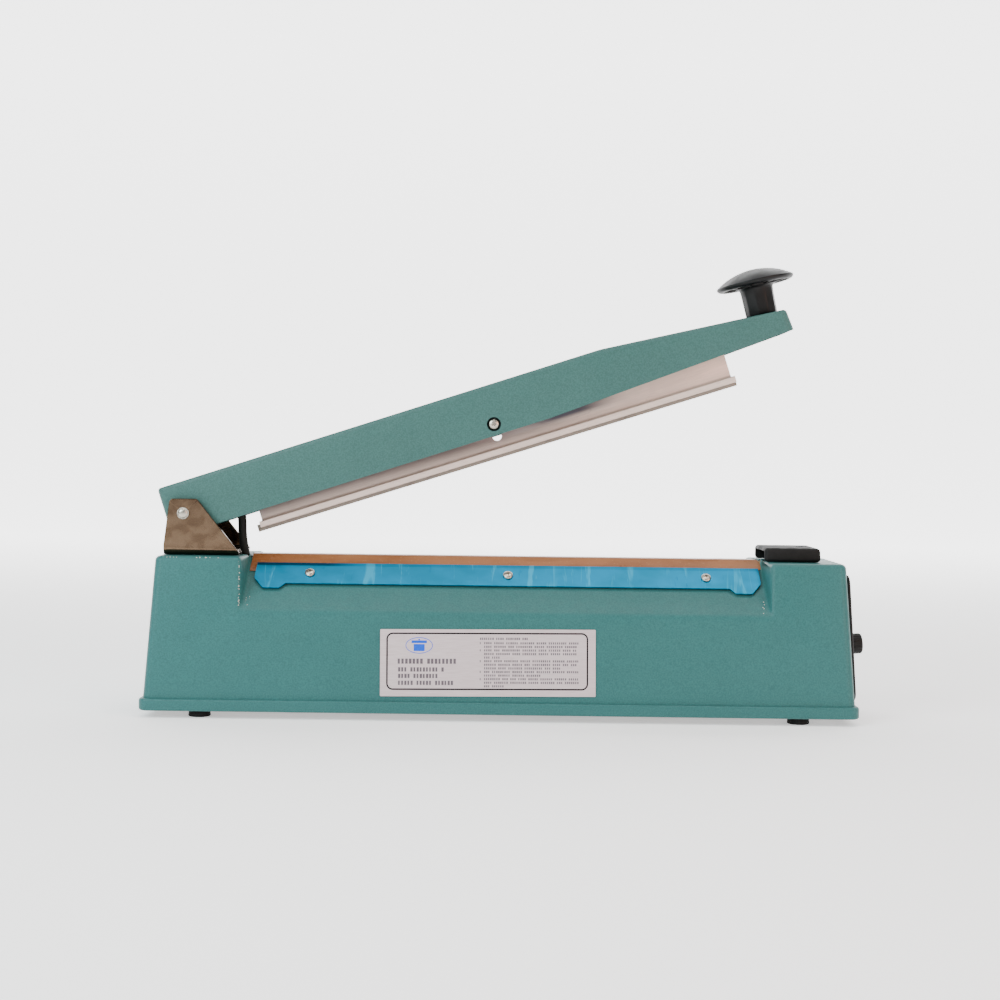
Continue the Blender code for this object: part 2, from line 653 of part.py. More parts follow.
def make_bracket():
    """U-shaped hinge bracket in bent sheet, with a slanted front edge on both ears and a stop tab."""
    low, half, sheet = BRACKET_BOTTOM, BRACKET_HALF_WIDTH, BRACKET_SHEET
    outer = fillet([(half, EAR_TOP + 5), (-half, EAR_TOP + 5), (-half, low), (half, low)], 4.0, 3, (2, 3))
    inside, floor = half - sheet, low + sheet
    inner = [(inside, EAR_TOP + 8), (-inside, EAR_TOP + 8), (-inside, floor), (inside, floor)]
    inner = fillet(inner, 2.2, 3, (2, 3))
    bracket = outline("hinge_bracket", outer, "YZ", (BRACKET_LEFT, BRACKET_RIGHT), ZINC)
    past = (BRACKET_LEFT - 5, BRACKET_RIGHT + 5)
    cut(bracket, outline("bracket_channel", inner, "YZ", past, group=CUTTERS))
    side = [(BRACKET_LEFT - 0.2, low - 2), (BRACKET_RIGHT + 0.5, low - 2), (BRACKET_RIGHT + 0.5, low + 1.6),
            (-189.8, EAR_TOP), (-206.4, EAR_TOP), (BRACKET_LEFT - 0.2, low + 4)]
    profile = outline("bracket_side", fillet(side, 3.0, 3, (3, 4)), "XZ", (-30, 30), group=CUTTERS)
    boolean(bracket, profile, "INTERSECT")
    pivot = (PIVOT_X, 0, PIVOT_Z)
    notch = (-170.5, BRACKET_RIGHT + 2)
    cut(bracket, cylinder("bracket_pin_hole", pivot, PIN_RADIUS + 0.15, 60, "Y", group=CUTTERS))
    for number, x in enumerate(BRACKET_SCREW_X):
        cut(bracket, cylinder(f"bracket_hole_{number}", (x, 0, low), 2.3, 12, "Z", group=CUTTERS))
        pan_screw(f"bracket_screw_{number + 1}", (x, 0, low + sheet + GAP), 3.9, 2.2, 2.0, 11.0)
    cut(bracket, box("cable_notch", notch, (-8.0, 8.0), (low - 2, low + 6), group=CUTTERS))
    join(bracket, box("stop_tab", STOP_TAB_X, (-14.0, 14.0), (low + 1, STOP_TAB_TOP), group=CUTTERS))
    smooth(bracket)
    return bracket


def make_pin():
    """Hinge pin, riveted over outside both ears."""
    half = BRACKET_HALF_WIDTH + GAP
    profile = [(0.0, half + 1.1), (2.3, half + 1.1), (3.0, half + 0.7), (3.6, half), (PIN_RADIUS, half),
               (PIN_RADIUS, -half), (3.6, -half), (3.0, -half - 0.7), (2.3, -half - 1.1), (0.0, -half - 1.1)]
    pin = turned("hinge_pin", profile, (PIVOT_X, 0, PIVOT_Z), "Y", STEEL, 18)
    smooth(pin)
    return pin


def arm_frame():
    """Empty on the hinge pin's axis, turned to the open position, that carries the arm's pieces."""
    empty = bpy.data.objects.new("arm_axes", None)
    empty.location = Vector((PIVOT_X, 0, PIVOT_Z)) * MM
    empty.rotation_euler = (0, -math.radians(OPEN_ANGLE), 0)
    MODEL.objects.link(empty)
    return empty


def arm_top(u):
    """Height of the arm's top face at u."""
    if u < ARM_KNEE_U:
        share = (u - ARM_REAR) / (ARM_KNEE_U - ARM_REAR)
        return ARM_TOP_REAR + share * (ARM_TOP_KNEE - ARM_TOP_REAR)
    return ARM_TOP_KNEE - (u - ARM_KNEE_U) * math.tan(TIP_SLOPE)


def make_arm(axes):
    """Channel-shaped arm, open below, with a closed tip and rear end."""
    points = [(ARM_REAR, ARM_LOW_REAR), (ARM_BELLY_U, ARM_LOW_BELLY), (ARM_TIP + 0.5, ARM_LOW_TIP),
              (ARM_TIP - 0.5, ARM_TOP_TIP), (ARM_KNEE_U, ARM_TOP_KNEE), (ARM_REAR, ARM_TOP_REAR)]
    arm = outline("arm_casing", points, "XZ", (-ARM_HALF_WIDTH, ARM_HALF_WIDTH), PAINT, parent=axes)
    round_edges(arm, 1.6, 2, 25.0)
    wall = ARM_WALL
    near, far, below = ARM_REAR + wall, ARM_TIP - wall, ARM_LOW_REAR - 6
    hollow = [(near, below), (far, below), (far, ARM_TOP_TIP - wall), (ARM_KNEE_U, ARM_TOP_KNEE - wall),
              (near, ARM_TOP_REAR - wall)]
    half = ARM_HALF_WIDTH - wall
    cut(arm,
        outline("arm_hollow", hollow, "XZ", (-half, half), group=CUTTERS, parent=axes),
        cylinder("arm_pin_hole", (0, 0, 0), PIN_RADIUS + 0.25, 60, "Y", sides=24, group=CUTTERS, parent=axes),
        cylinder("arm_bolt_hole", (BOLT_U, 0, BOLT_W), 4.3, 60, "Y", group=CUTTERS, parent=axes),
        cylinder("arm_handle_hole", (HANDLE_U, 0, arm_top(HANDLE_U)), 3.4, 14, "Z", group=CUTTERS,
                 parent=axes))
    smooth(arm)
    return arm


def make_arm_hinge(axes):
    """Spacer sleeve that keeps the arm's walls apart on the pin, and the torsion spring around it."""
    half = ARM_HALF_WIDTH - ARM_WALL - GAP
    profile = [(4.6, half), (4.6, -half), (PIN_RADIUS + 0.25, -half), (PIN_RADIUS + 0.25, half)]
    sleeve = turned("hinge_sleeve", profile, (0, 0, 0), "Y", BRASS, 18, parent=axes)
    smooth(sleeve)
    radius, turns, per_turn = 6.2, 4, 8
    foot = (PIVOT_X + 13.0, -9.2, BRACKET_BOTTOM + BRACKET_SHEET + 1.5)
    points = [foot, (PIVOT_X + radius * 0.9, -9.2, PIVOT_Z - radius * 1.6)]
    for step in range(turns * per_turn + 4):
        angle = 2 * math.pi * step / per_turn
        points.append((PIVOT_X + radius * math.cos(angle), -9.2 + 18.4 * step / (turns * per_turn + 3),
                       PIVOT_Z + radius * math.sin(angle)))
    lean = math.radians(OPEN_ANGLE)
    for u, w in ((8.0, 10.5), (22.0, 15.0)):
        points.append((PIVOT_X + u * math.cos(lean) - w * math.sin(lean), 9.2,
                       PIVOT_Z + u * math.sin(lean) + w * math.cos(lean)))
    wire("return_spring", points, 0.9, STEEL)
    return sleeve


def make_bar(axes):
    """Press bar: an extrusion with a grooved flange and a channel web, slotted for its bolt."""
    half, web = BAR_FLANGE_HALF, WEB_HALF
    section = [(-half, BAR_FLANGE_LOW), (-STRIP_HALF - 0.3, BAR_FLANGE_LOW), (-STRIP_HALF - 0.3, GROOVE_TOP),
               (STRIP_HALF + 0.3, GROOVE_TOP), (STRIP_HALF + 0.3, BAR_FLANGE_LOW), (half, BAR_FLANGE_LOW),
               (half, BAR_FLANGE_TOP), (web, BAR_FLANGE_TOP), (web, BAR_WEB_TOP),
               (web - WEB_WALL, BAR_WEB_TOP), (web - WEB_WALL, BAR_FLANGE_TOP),
               (-web + WEB_WALL, BAR_FLANGE_TOP), (-web + WEB_WALL, BAR_WEB_TOP),
               (-web, BAR_WEB_TOP), (-web, BAR_FLANGE_TOP), (-half, BAR_FLANGE_TOP)]
    bar = outline("press_bar", section, "YZ", (BAR_U0, BAR_U1), ALUMINIUM, parent=axes)
    trims = []
    for number, span in enumerate(((BAR_U0 - 5, WEB_U0), (WEB_U1, BAR_U1 + 5))):
        heights = (BAR_FLANGE_TOP, BAR_WEB_TOP + 2)
        trims.append(box(f"web_trim_{number}", span, (-half, half), heights, group=CUTTERS, parent=axes))
    slot = slot_outline(BOLT_U, BUSH_RADIUS + 0.3, -13.8, BOLT_W + BUSH_RADIUS + 0.3)
    cut(bar, *trims, outline("bolt_slot", slot, "XZ", (-20, 20), group=CUTTERS, parent=axes))
    long, heights = (BAR_U0 - 2.6, BAR_U1 + 0.3), (STRIP_LOW, GROOVE_TOP - GAP)
    box("silicone_strip", long, (-STRIP_HALF, STRIP_HALF), heights, SILICONE, 0.4, parent=axes)
    return bar


def make_bolt(axes):
    """Bolt across the arm, the flanged bush on it that guides the bar, and its nut."""
    inner = ARM_HALF_WIDTH - ARM_WALL - GAP
    bush = [(6.0, inner), (6.0, inner - 1.2), (BUSH_RADIUS, inner - 1.2), (BUSH_RADIUS, -inner + 1.2),
            (6.0, -inner + 1.2), (6.0, -inner), (2.2, -inner), (2.2, inner)]
    smooth(turned("bar_bush", bush, (BOLT_U, 0, BOLT_W), "Y", STEEL, 16, parent=axes))
    bolt = pan_screw("bar_bolt", (BOLT_U, -inner - GAP, BOLT_W), 3.2, 2.0, 1.9, 2 * inner + 4.4,
                     (math.pi / 2, 0, 0), parent=axes)
    nut = cylinder("bar_nut", (BOLT_U, inner + GAP + 1.3, BOLT_W), 3.9, 2.6, "Y", STEEL, 6, parent=axes)
    cut(nut, cylinder("nut_bore", (BOLT_U, inner, BOLT_W), 2.2, 12, "Y", group=CUTTERS, parent=axes))
    return bolt


def make_bar_springs(axes):
    """Two coil springs that push the bar down in its channel."""
    for number, u in enumerate(SPRING_U, 1):
        high = arm_top(u) - ARM_WALL - GAP - 0.8
        turns = coil((u, 0, 0), 3.1, BAR_FLANGE_TOP + GAP + 0.7, high, 5)
        wire(f"bar_spring_{number}", turns, 0.6, STEEL, parent=axes)


def handle_profile():
    """Mushroom knob from the crown of its cap down to its foot."""
    ball = (CAP_RADIUS ** 2 + CAP_DOME ** 2) / (2 * CAP_DOME)
    points = []
    for step in range(6):
        radius = CAP_RADIUS * math.sin(step / 5 * math.pi / 2)
        points.append((radius, CAP_RIM + math.sqrt(ball ** 2 - radius ** 2) - ball + CAP_DOME))
    points += [(CAP_RADIUS - 0.3, CAP_RIM - 1.2), (CAP_RADIUS - 3.0, CAP_RIM - 1.9), (13.0, CAP_RIM - 2.8),
               (NECK_RADIUS + 0.3, CAP_RIM - 4.6), (NECK_RADIUS - 0.2, 0.0), (0.0, 0.0)]
    return points


def make_handle(axes):
    """Black mushroom handle square to the arm's sloping tip, and the screw that holds it."""
    foot = Vector((HANDLE_U, 0, arm_top(HANDLE_U) + GAP))
    handle = turned("handle_knob", handle_profile(), foot, "Z", BLACK, 22, parent=axes)
    handle.rotation_euler = (0, TIP_SLOPE, 0)
    bore = cylinder("handle_bore", (0, 0, 5.0), 2.8, 24, "Z", group=CUTTERS, parent=handle)
    cut(handle, bore)
    smooth(handle)
    seat = -(ARM_WALL * math.cos(TIP_SLOPE) + 2 * GAP)
    screw = pan_screw("handle_screw", (0, 0, seat), 4.4, 2.4, 2.3, 16.0, (math.pi, 0, 0), parent=handle)
    return screw


def make_switch(axes):
    """Sub-miniature switch under the arm's top, its plunger, and the lever that rests on the bar."""
    top = arm_top(SWITCH_U) - ARM_WALL - GAP
    long, deep = (SWITCH_U - 6.4, SWITCH_U + 6.4), (SWITCH_Y - 2.9, SWITCH_Y + 2.9)
    body = box("micro_switch", long, deep, (SWITCH_W, top), BLACK, 0.3, parent=axes)
    cut(body, box("plunger_hole", (SWITCH_U - 3.9, SWITCH_U - 1.7), (SWITCH_Y - 1.5, SWITCH_Y + 1.5),
                  (SWITCH_W - 1, SWITCH_W + 3.2), group=CUTTERS, parent=axes))
    box("switch_plunger", (SWITCH_U - 3.6, SWITCH_U - 2.0), (SWITCH_Y - 1.2, SWITCH_Y + 1.2),
        (SWITCH_W - 1.4, SWITCH_W + 1.6), RED, parent=axes)
    hinge = Vector((SWITCH_U - 6.2, SWITCH_Y, SWITCH_W - 0.9))
    lever = box("switch_lever", (0.0, LEVER_LONG), (-1.9, 1.9), (-0.2, 0.2), STEEL, parent=axes)
    for vertex in lever.data.vertices:
        vertex.co.x += 0.5 * LEVER_LONG * MM
    lever.location = hinge * MM
    lever.rotation_euler = (0, math.radians(LEVER_DROOP), 0)
    return body


def make_cable():
    """Switch cable, from inside the base up into the arm and on to the switch."""
    lean = math.radians(OPEN_ANGLE)

    def in_arm(u, y, w):
        x = PIVOT_X + u * math.cos(lean) - w * math.sin(lean)
        z = PIVOT_Z + u * math.sin(lean) + w * math.cos(lean)
        return (x, y, z)

    route = [(CABLE_HOLE_X, CABLE_HOLE_Y, 84.0), (CABLE_HOLE_X, CABLE_HOLE_Y, 93.0), (-163.8, -3.0, 101.0),
             (-164.9, -3.3, 109.0), (-165.2, -3.4, 117.0), in_arm(33.0, -3.2, -2.0), in_arm(38.5, -2.2, 8.6),
             in_arm(52.0, -3.0, 11.0), in_arm(60.0, -3.0, 11.4)]
    wire("switch_cable", smooth_route(route, 24), CABLE_RADIUS, BLACK)


# ---------------------------------------------------------------- controls and inner parts

def panel_frame():
    """Empty on the right end wall, with x square to the wall and z up its slope."""
    empty = bpy.data.objects.new("panel_axes", None)
    empty.location = Vector((wall_x(PANEL_MIDDLE) + GAP, 0, PANEL_MIDDLE)) * MM
    empty.rotation_euler = (0, -math.radians(END_DRAFT), 0)
    MODEL.objects.link(empty)
    return empty


def make_panel(axes):
    """Black control panel on the end wall, with its screws."""
    half_y, half_z = PANEL_HALF_WIDTH, 0.5 * (PANEL_TOP - PANEL_LOW)
    corners = [(-half_y, -half_z), (half_y, -half_z), (half_y, half_z), (-half_y, half_z)]
    panel = outline("control_panel", fillet(corners, 6.0, 4), "YZ", (0.0, PANEL_THICK), BLACK, parent=axes)
    round_edges(panel, 1.4, 1, 60.0)
    cut(panel,
        cylinder("panel_shaft_hole", (0, 0, KNOB_Z - PANEL_MIDDLE), 3.9, 20, "X", group=CUTTERS, parent=axes),
        cylinder("panel_lamp_hole", (0, 0, LAMP_Z - PANEL_MIDDLE), 4.3, 20, "X", group=CUTTERS, parent=axes))
    for number, z in enumerate((half_z - 5.5, 5.5 - half_z), 1):
        drill = cylinder(f"panel_screw_way_{number}", (0, 0, z), 1.7, 30, "X", sides=12, group=CUTTERS,
                         parent=axes)
        cut(panel, drill)
        cut(bpy.data.objects["base_housing"], drill)
        seat = (PANEL_THICK + GAP, 0, z)
        pan_screw(f"panel_screw_{number}", seat, 2.8, 1.8, 1.4, 10.0, (0, math.pi / 2, 0), axes)
    smooth(panel)
    return panel


def make_controls(axes):
    """Timer potentiometer with its knob, and the indicator lamp."""
    z = KNOB_Z - PANEL_MIDDLE
    pot = [(0.0, 12.0), (3.0, 12.0), (3.0, PANEL_THICK), (3.6, PANEL_THICK), (3.6, -3.4), (8.0, -3.4),
           (8.0, -13.0), (0.0, -13.0)]
    smooth(turned("timer_potentiometer", pot, (0, 0, z), "X", STEEL, 16, parent=axes))
    lean = math.radians(END_DRAFT)
    reach = wall_x(PANEL_MIDDLE) + GAP + (KNOB_RADIUS - z) * math.sin(lean)
    end = (KNOB_END - reach) / math.cos(lean)
    low = PANEL_THICK + GAP
    knob = [(0.0, end), (KNOB_RADIUS - 1.2, end), (KNOB_RADIUS - 0.4, end - 0.4), (KNOB_RADIUS, end - 1.4),
            (KNOB_RADIUS, low), (3.3, low), (3.3, 12.4), (0.0, 12.4)]
    smooth(turned("timer_knob", knob, (0, 0, z), "X", BLACK, 20, parent=axes))
    lens = [(0.0, PANEL_THICK + 3.0), (2.4, PANEL_THICK + 2.6), (4.4, PANEL_THICK + 1.2),
            (5.0, PANEL_THICK + GAP), (4.0, PANEL_THICK + GAP), (4.0, -11.0), (0.0, -11.0)]
    smooth(turned("indicator_lamp", lens, (0, 0, LAMP_Z - PANEL_MIDDLE), "X", RED, 16, parent=axes))


def make_board(axes):
    """Timer board behind the potentiometer, with its relay."""
    box("timer_board", (-15.2, -13.6), (-20.0, 20.0), (-27.0, 25.0), BOARD, parent=axes)
    box("power_relay", (-32.0, -15.5), (-8.0, 8.0), (-2.0, 18.0), BLACK, 0.8, parent=axes)


def make_transformer():
    """Transformer: laminated core, its coil round the middle limb, and the strap that holds it down."""
    x, low, high = TRANSFORMER_X, CORE_LOW, CORE_HIGH
    core = box("transformer_core", (x - CORE_HALF, x + CORE_HALF), (-CORE_STACK, CORE_STACK), (low, high),
               IRON)
    for side in (-1, 1):
        inner, outer = sorted((x + side * 9, x + side * 19))
        cut(core, box(f"core_window_{side}", (inner, outer), (-20, 20), (low + 9, high - 9), group=CUTTERS))
    heights = (low + 9.5, high - 9.5)
    winding = box("transformer_coil", (x - 18.5, x + 18.5), (-23.0, 23.0), heights, COPPER, 2.0)
    cut(winding, box("coil_way", (x - 9.4, x + 9.4), (-14.4, 14.4), (low, high), group=CUTTERS))
    foot, sheet = BASE_BOTTOM + 1.5 + GAP, 1.0
    edge = x + CORE_HALF + GAP
    near = x - CORE_HALF - GAP
    top = high + GAP
    strap = [(near - 10, foot), (near, foot), (near, top), (edge, top), (edge, foot), (edge + 10, foot),
             (edge + 10, foot + sheet), (edge + sheet, foot + sheet), (edge + sheet, top + sheet),
             (near - sheet, top + sheet), (near - sheet, foot + sheet), (near - 10, foot + sheet)]
    outline("transformer_strap", strap, "XZ", (-9, 9), STEEL)


def make_leads():
    """Heavy lead from the transformer to the right terminal."""
    route = [(72.0, -24.95, 30.0), (96.0, -24.0, 40.0), (118.0, -16.0, 56.0), (142.0, -9.0, 74.0),
             (158.0, -2.0, 82.0), (162.5, 0.0, 90.6)]
    wire("element_lead", smooth_route(route, 16), 1.6, RED)


def make_gland():
    """Cord gland in the rear wall."""
    profile = [(3.6, 3.0), (6.8, 3.0), (8.0, 2.0), (8.0, GAP), (5.3, GAP), (5.3, -6.0), (3.6, -6.0)]
    gland = turned("cord_gland", profile, (GLAND_X, wall_y(GLAND_Z), GLAND_Z), "Y", BLACK, 16)
    gland.rotation_euler.x += math.radians(SIDE_DRAFT)
    smooth(gland)
    return gland


def make_label():
    """Foil rating label on the front wall, stuck on a little out of square."""
    half_x, half_z, half_thick = 0.5 * LABEL_LONG, 0.5 * LABEL_HIGH, 0.15
    item = box("rating_label", (-half_x, half_x), (-half_thick, half_thick), (-half_z, half_z), LABEL)
    item.location = Vector((LABEL_X, -wall_y(LABEL_Z) - GAP - half_thick, LABEL_Z)) * MM
    lean = Matrix.Rotation(-math.radians(SIDE_DRAFT), 3, "X")
    item.rotation_euler = (lean @ Matrix.Rotation(-math.radians(LABEL_TURN), 3, "Y")).to_euler()
    return item


def add_bosses(base):
    """Posts inside the base that take the foot screws."""
    for name, x, y in foot_places():
        side = math.copysign(1, y)
        depth = sorted((y - side * 4, side * (WALL_HALF_DEPTH - WALL + 1)))
        join(base, box(f"{name}_boss", (x - 5, x + 5), depth, (BASE_BOTTOM + 1.5 + GAP, 24), group=CUTTERS))
        cut(base, cylinder(f"{name}_boss_hole", (x, y, 8), 1.9, 16, "Z", sides=12, group=CUTTERS))


def build():
    """Build the whole machine."""
    base = make_base()
    add_bosses(base)
    make_bottom()
    make_bed()
    make_tape()
    clamp_plate("front_clamp_plate", -1, FILM)
    clamp_plate("rear_clamp_plate", 1, ZINC)
    make_terminals()
    make_cover()
    make_bracket()
    make_pin()
    arm = arm_frame()
    make_arm(arm)
    make_arm_hinge(arm)
    make_bar(arm)
    make_bolt(arm)
    make_bar_springs(arm)
    make_handle(arm)
    make_switch(arm)
    make_cable()
    panel = panel_frame()
    make_panel(panel)
    make_controls(panel)
    make_board(panel)
    make_transformer()
    make_leads()
    make_gland()
    make_label()


build()
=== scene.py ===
"""Looks of the hand impulse heat sealer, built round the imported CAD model.

Every place comes from the CAD frame. Shapes are in millimetres in this script, and the helpers turn them
into metres. Pieces of the arm are made along the arm's own axes, from the hinge pin: u along the arm and w up.
"""
import json
import math
import random

import bmesh
import bpy
from mathutils import Euler, Matrix, Vector, noise

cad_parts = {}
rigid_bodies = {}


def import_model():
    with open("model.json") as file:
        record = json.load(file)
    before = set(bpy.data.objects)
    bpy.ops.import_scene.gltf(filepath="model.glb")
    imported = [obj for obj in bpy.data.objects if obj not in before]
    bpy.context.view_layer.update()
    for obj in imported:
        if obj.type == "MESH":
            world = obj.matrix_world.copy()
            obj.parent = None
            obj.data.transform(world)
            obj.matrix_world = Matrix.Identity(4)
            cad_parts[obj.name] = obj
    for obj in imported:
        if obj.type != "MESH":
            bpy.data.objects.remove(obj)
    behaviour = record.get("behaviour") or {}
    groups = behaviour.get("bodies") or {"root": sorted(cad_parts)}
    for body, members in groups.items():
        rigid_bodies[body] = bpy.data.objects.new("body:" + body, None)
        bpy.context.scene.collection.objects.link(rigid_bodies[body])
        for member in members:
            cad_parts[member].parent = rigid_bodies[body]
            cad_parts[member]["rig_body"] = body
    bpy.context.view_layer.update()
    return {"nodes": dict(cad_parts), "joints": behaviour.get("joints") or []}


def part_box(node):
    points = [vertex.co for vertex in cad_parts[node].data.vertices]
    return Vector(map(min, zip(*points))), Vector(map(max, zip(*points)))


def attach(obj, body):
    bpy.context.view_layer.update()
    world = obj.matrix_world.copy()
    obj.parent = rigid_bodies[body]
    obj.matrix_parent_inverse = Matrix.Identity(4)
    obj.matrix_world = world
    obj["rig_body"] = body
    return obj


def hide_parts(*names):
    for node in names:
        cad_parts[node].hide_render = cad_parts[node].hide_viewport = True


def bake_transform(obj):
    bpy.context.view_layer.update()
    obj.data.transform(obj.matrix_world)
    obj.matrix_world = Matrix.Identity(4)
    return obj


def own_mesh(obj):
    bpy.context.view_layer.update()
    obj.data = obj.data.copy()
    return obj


MM = 0.001
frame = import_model()
JOINTS = {joint["name"]: joint for joint in frame["joints"]}


def cad_box(node):
    """Limits of a CAD node in millimetres, as ((x0, y0, z0), (x1, y1, z1))."""
    low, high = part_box(node)
    return low / MM, high / MM


# ---------------------------------------------------------------- places read from the frame

PIVOT = Vector(JOINTS["arm_hinge"]["pos_m"]) / MM
ARM_UP = Vector(JOINTS["bar_float"]["axis"])
ARM_ANGLE = math.atan2(-ARM_UP.x, ARM_UP.z)
ARM_MATRIX = Matrix.Translation(PIVOT * MM) @ Matrix.Rotation(-ARM_ANGLE, 4, "Y")
PANEL_OUT = Vector(JOINTS["timer_turn"]["axis"])
PANEL_LEAN = math.atan2(PANEL_OUT.z, PANEL_OUT.x)

BASE_LOW, BASE_HIGH = cad_box("base_housing")
BLOCK_TOP = BASE_HIGH.z
BASE_BOTTOM = BASE_LOW.z
TAPE_LOW, TAPE_HIGH = cad_box("ptfe_tape")
COVER_LOW, COVER_HIGH = cad_box("terminal_cover")
BRACKET_LOW, BRACKET_HIGH = cad_box("hinge_bracket")
LABEL_LOW, LABEL_HIGH = cad_box("rating_label")

# The casting's own design values, as in the CAD model
FLANGE_HIGH, FLANGE_STEP = 7.4, 2.1
FLANGE_CORNER, WALL_CORNER, ARRIS = 6.0, 5.0, 2.8
WALL = 3.0
SIDE_DRAFT, END_DRAFT = math.radians(3.7), PANEL_LEAN
RECESS_FLOOR = 64.3
RIDGE_TOP, RIDGE_HALF = 94.5, 6.9
RECESS_FRONT, RECESS_RIDGE, RECESS_REAR = (-161.2, 158.8), (-160.0, 156.6), (-155.5, 151.0)
WALL_FOOT = BASE_BOTTOM + FLANGE_HIGH - 3.0
WALL_HALF = BASE_HIGH.y - FLANGE_STEP
CABLE_HOLE = Vector((-162.3, -2.6, BLOCK_TOP))
GAP = 0.3

# The arm's side outline, in (u, w)
ARM_HALF, ARM_WALL = 21.0, 2.2
ARM_REAR, ARM_TIP, ARM_KNEE = -12.0, 388.1, 272.0
ARM_OUTLINE = ((ARM_REAR, -12.2), (230.0, -10.2), (ARM_TIP + 0.5, -1.9), (ARM_TIP - 0.5, 11.2), (ARM_KNEE, 21.0),
               (ARM_REAR, 19.0))
TIP_SLOPE = math.atan2(21.0 - 11.2, ARM_TIP - ARM_KNEE)
BOLT_U, BOLT_W = 196.6, -3.6
HANDLE_U = 375.5
CABLE_RADIUS = 2.62

# Sealing bed, clamp plates and cord gland
BED_TOP = RIDGE_TOP + 1.6 + 2 * GAP
CLAMP_SCREW_X = tuple(0.5 * (cad_box(f"clamp_screw_front_{n}")[0].x + cad_box(f"clamp_screw_front_{n}")[1].x)
                      for n in (1, 2, 3))
PLATE_TOP_Z, PLATE_TOE_Z, PLATE_TAB_Z, CLAMP_SCREW_Z = 91.0, 79.3, 76.6, 85.0
CLAMP_DOWN = -(PLATE_TOP_Z - CLAMP_SCREW_Z) * math.sqrt(2)  # the screws, down the slope from the plate's top edge
GLAND_X, GLAND_Z = 120.0, 32.0

# Control panel on the right end wall
PANEL_MID, PANEL_THICK, PANEL_HALF_Y, PANEL_HALF_Z = 51.5, 2.6, 28.0, 38.5
KNOB_RISE, LAMP_RISE = 45.2 - PANEL_MID, 68.0 - PANEL_MID

# Rating label: its title rows as (left, right, low edge, height), and which small rows are short or numbered
LABEL_TURN = math.radians(0.55)
LABEL_HALF_X, LABEL_HALF_Z, LABEL_THICK = 64.75, 20.1, 0.2
TITLE_ROWS = ((-54.2, -18.0, 2.5, 3.1), (-53.9, -25.6, -2.7, 2.6), (-53.9, -27.4, -6.6, 2.6),
              (-53.9, -18.0, -10.7, 2.6))
SHORT_ROWS = {4: 8.0, 7: 43.6, 9: 31.6, 12: 9.8}
NUMBERED_ROWS = (0, 2, 5, 8, 10)


def wall_y(z):
    """Half-depth of the long walls' outer face at height z."""
    return WALL_HALF - (z - WALL_FOOT) * math.tan(SIDE_DRAFT)


def slope_y(z):
    """Half-depth of the 45 degree slope at height z."""
    return RIDGE_HALF + RIDGE_TOP - z


def arm_top(u):
    """Height of the arm's top face at u."""
    if u < ARM_KNEE:
        return 19.0 + 2.0 * (u - ARM_REAR) / (ARM_KNEE - ARM_REAR)
    return 21.0 - (u - ARM_KNEE) * math.tan(TIP_SLOPE)


def in_arm(u, y, w):
    """A point of the arm's axes in the machine's frame, in millimetres."""
    return (ARM_MATRIX @ (Vector((u, y, w)) * MM)) / MM


# ---------------------------------------------------------------- mesh helpers


def add_mesh(name, shape, matrix=None):
    """A new object from a bmesh in millimetres, placed by matrix."""
    bmesh.ops.scale(shape, vec=(MM, MM, MM), verts=shape.verts)
    mesh = bpy.data.meshes.new(name)
    shape.to_mesh(mesh)
    shape.free()
    item = bpy.data.objects.new(name, mesh)
    bpy.context.scene.collection.objects.link(item)
    if matrix is not None:
        item.matrix_world = matrix
    return item


def box(name, x, y, z, matrix=None):
    shape = bmesh.new()
    bmesh.ops.create_cube(shape, size=1.0)
    for vertex in shape.verts:
        vertex.co = Vector(limits[int(c > 0)] for limits, c in zip((x, y, z), vertex.co))
    return add_mesh(name, shape, matrix)


def cylinder(name, centre, radius, length, axis="Z", sides=48, matrix=None, top=None):
    shape = bmesh.new()
    turn = {"X": Matrix.Rotation(math.pi / 2, 4, "Y"), "Y": Matrix.Rotation(-math.pi / 2, 4, "X"),
            "Z": Matrix.Identity(4)}[axis]
    place = Matrix.Translation(Vector(centre)) @ turn
    bmesh.ops.create_cone(shape, cap_ends=True, segments=sides, radius1=radius, radius2=top or radius,
                          depth=length, matrix=place)
    return add_mesh(name, shape, matrix)


def prism(name, outline, plane, span, matrix=None):
    """A flat outline in the named plane, made solid over span along the third axis."""
    shape = bmesh.new()
    spots = {"XZ": lambda a, b, c: (a, c, b), "YZ": lambda a, b, c: (c, a, b),
             "XY": lambda a, b, c: (a, b, c)}[plane]
    near = [shape.verts.new(spots(a, b, span[0])) for a, b in outline]
    far = [shape.verts.new(spots(a, b, span[1])) for a, b in outline]
    count = len(outline)
    shape.faces.new(near)
    shape.faces.new(far)
    for index in range(count):
        after = (index + 1) % count
        shape.faces.new((near[index], near[after], far[after], far[index]))
    bmesh.ops.recalc_face_normals(shape, faces=shape.faces)
    return add_mesh(name, shape, matrix)


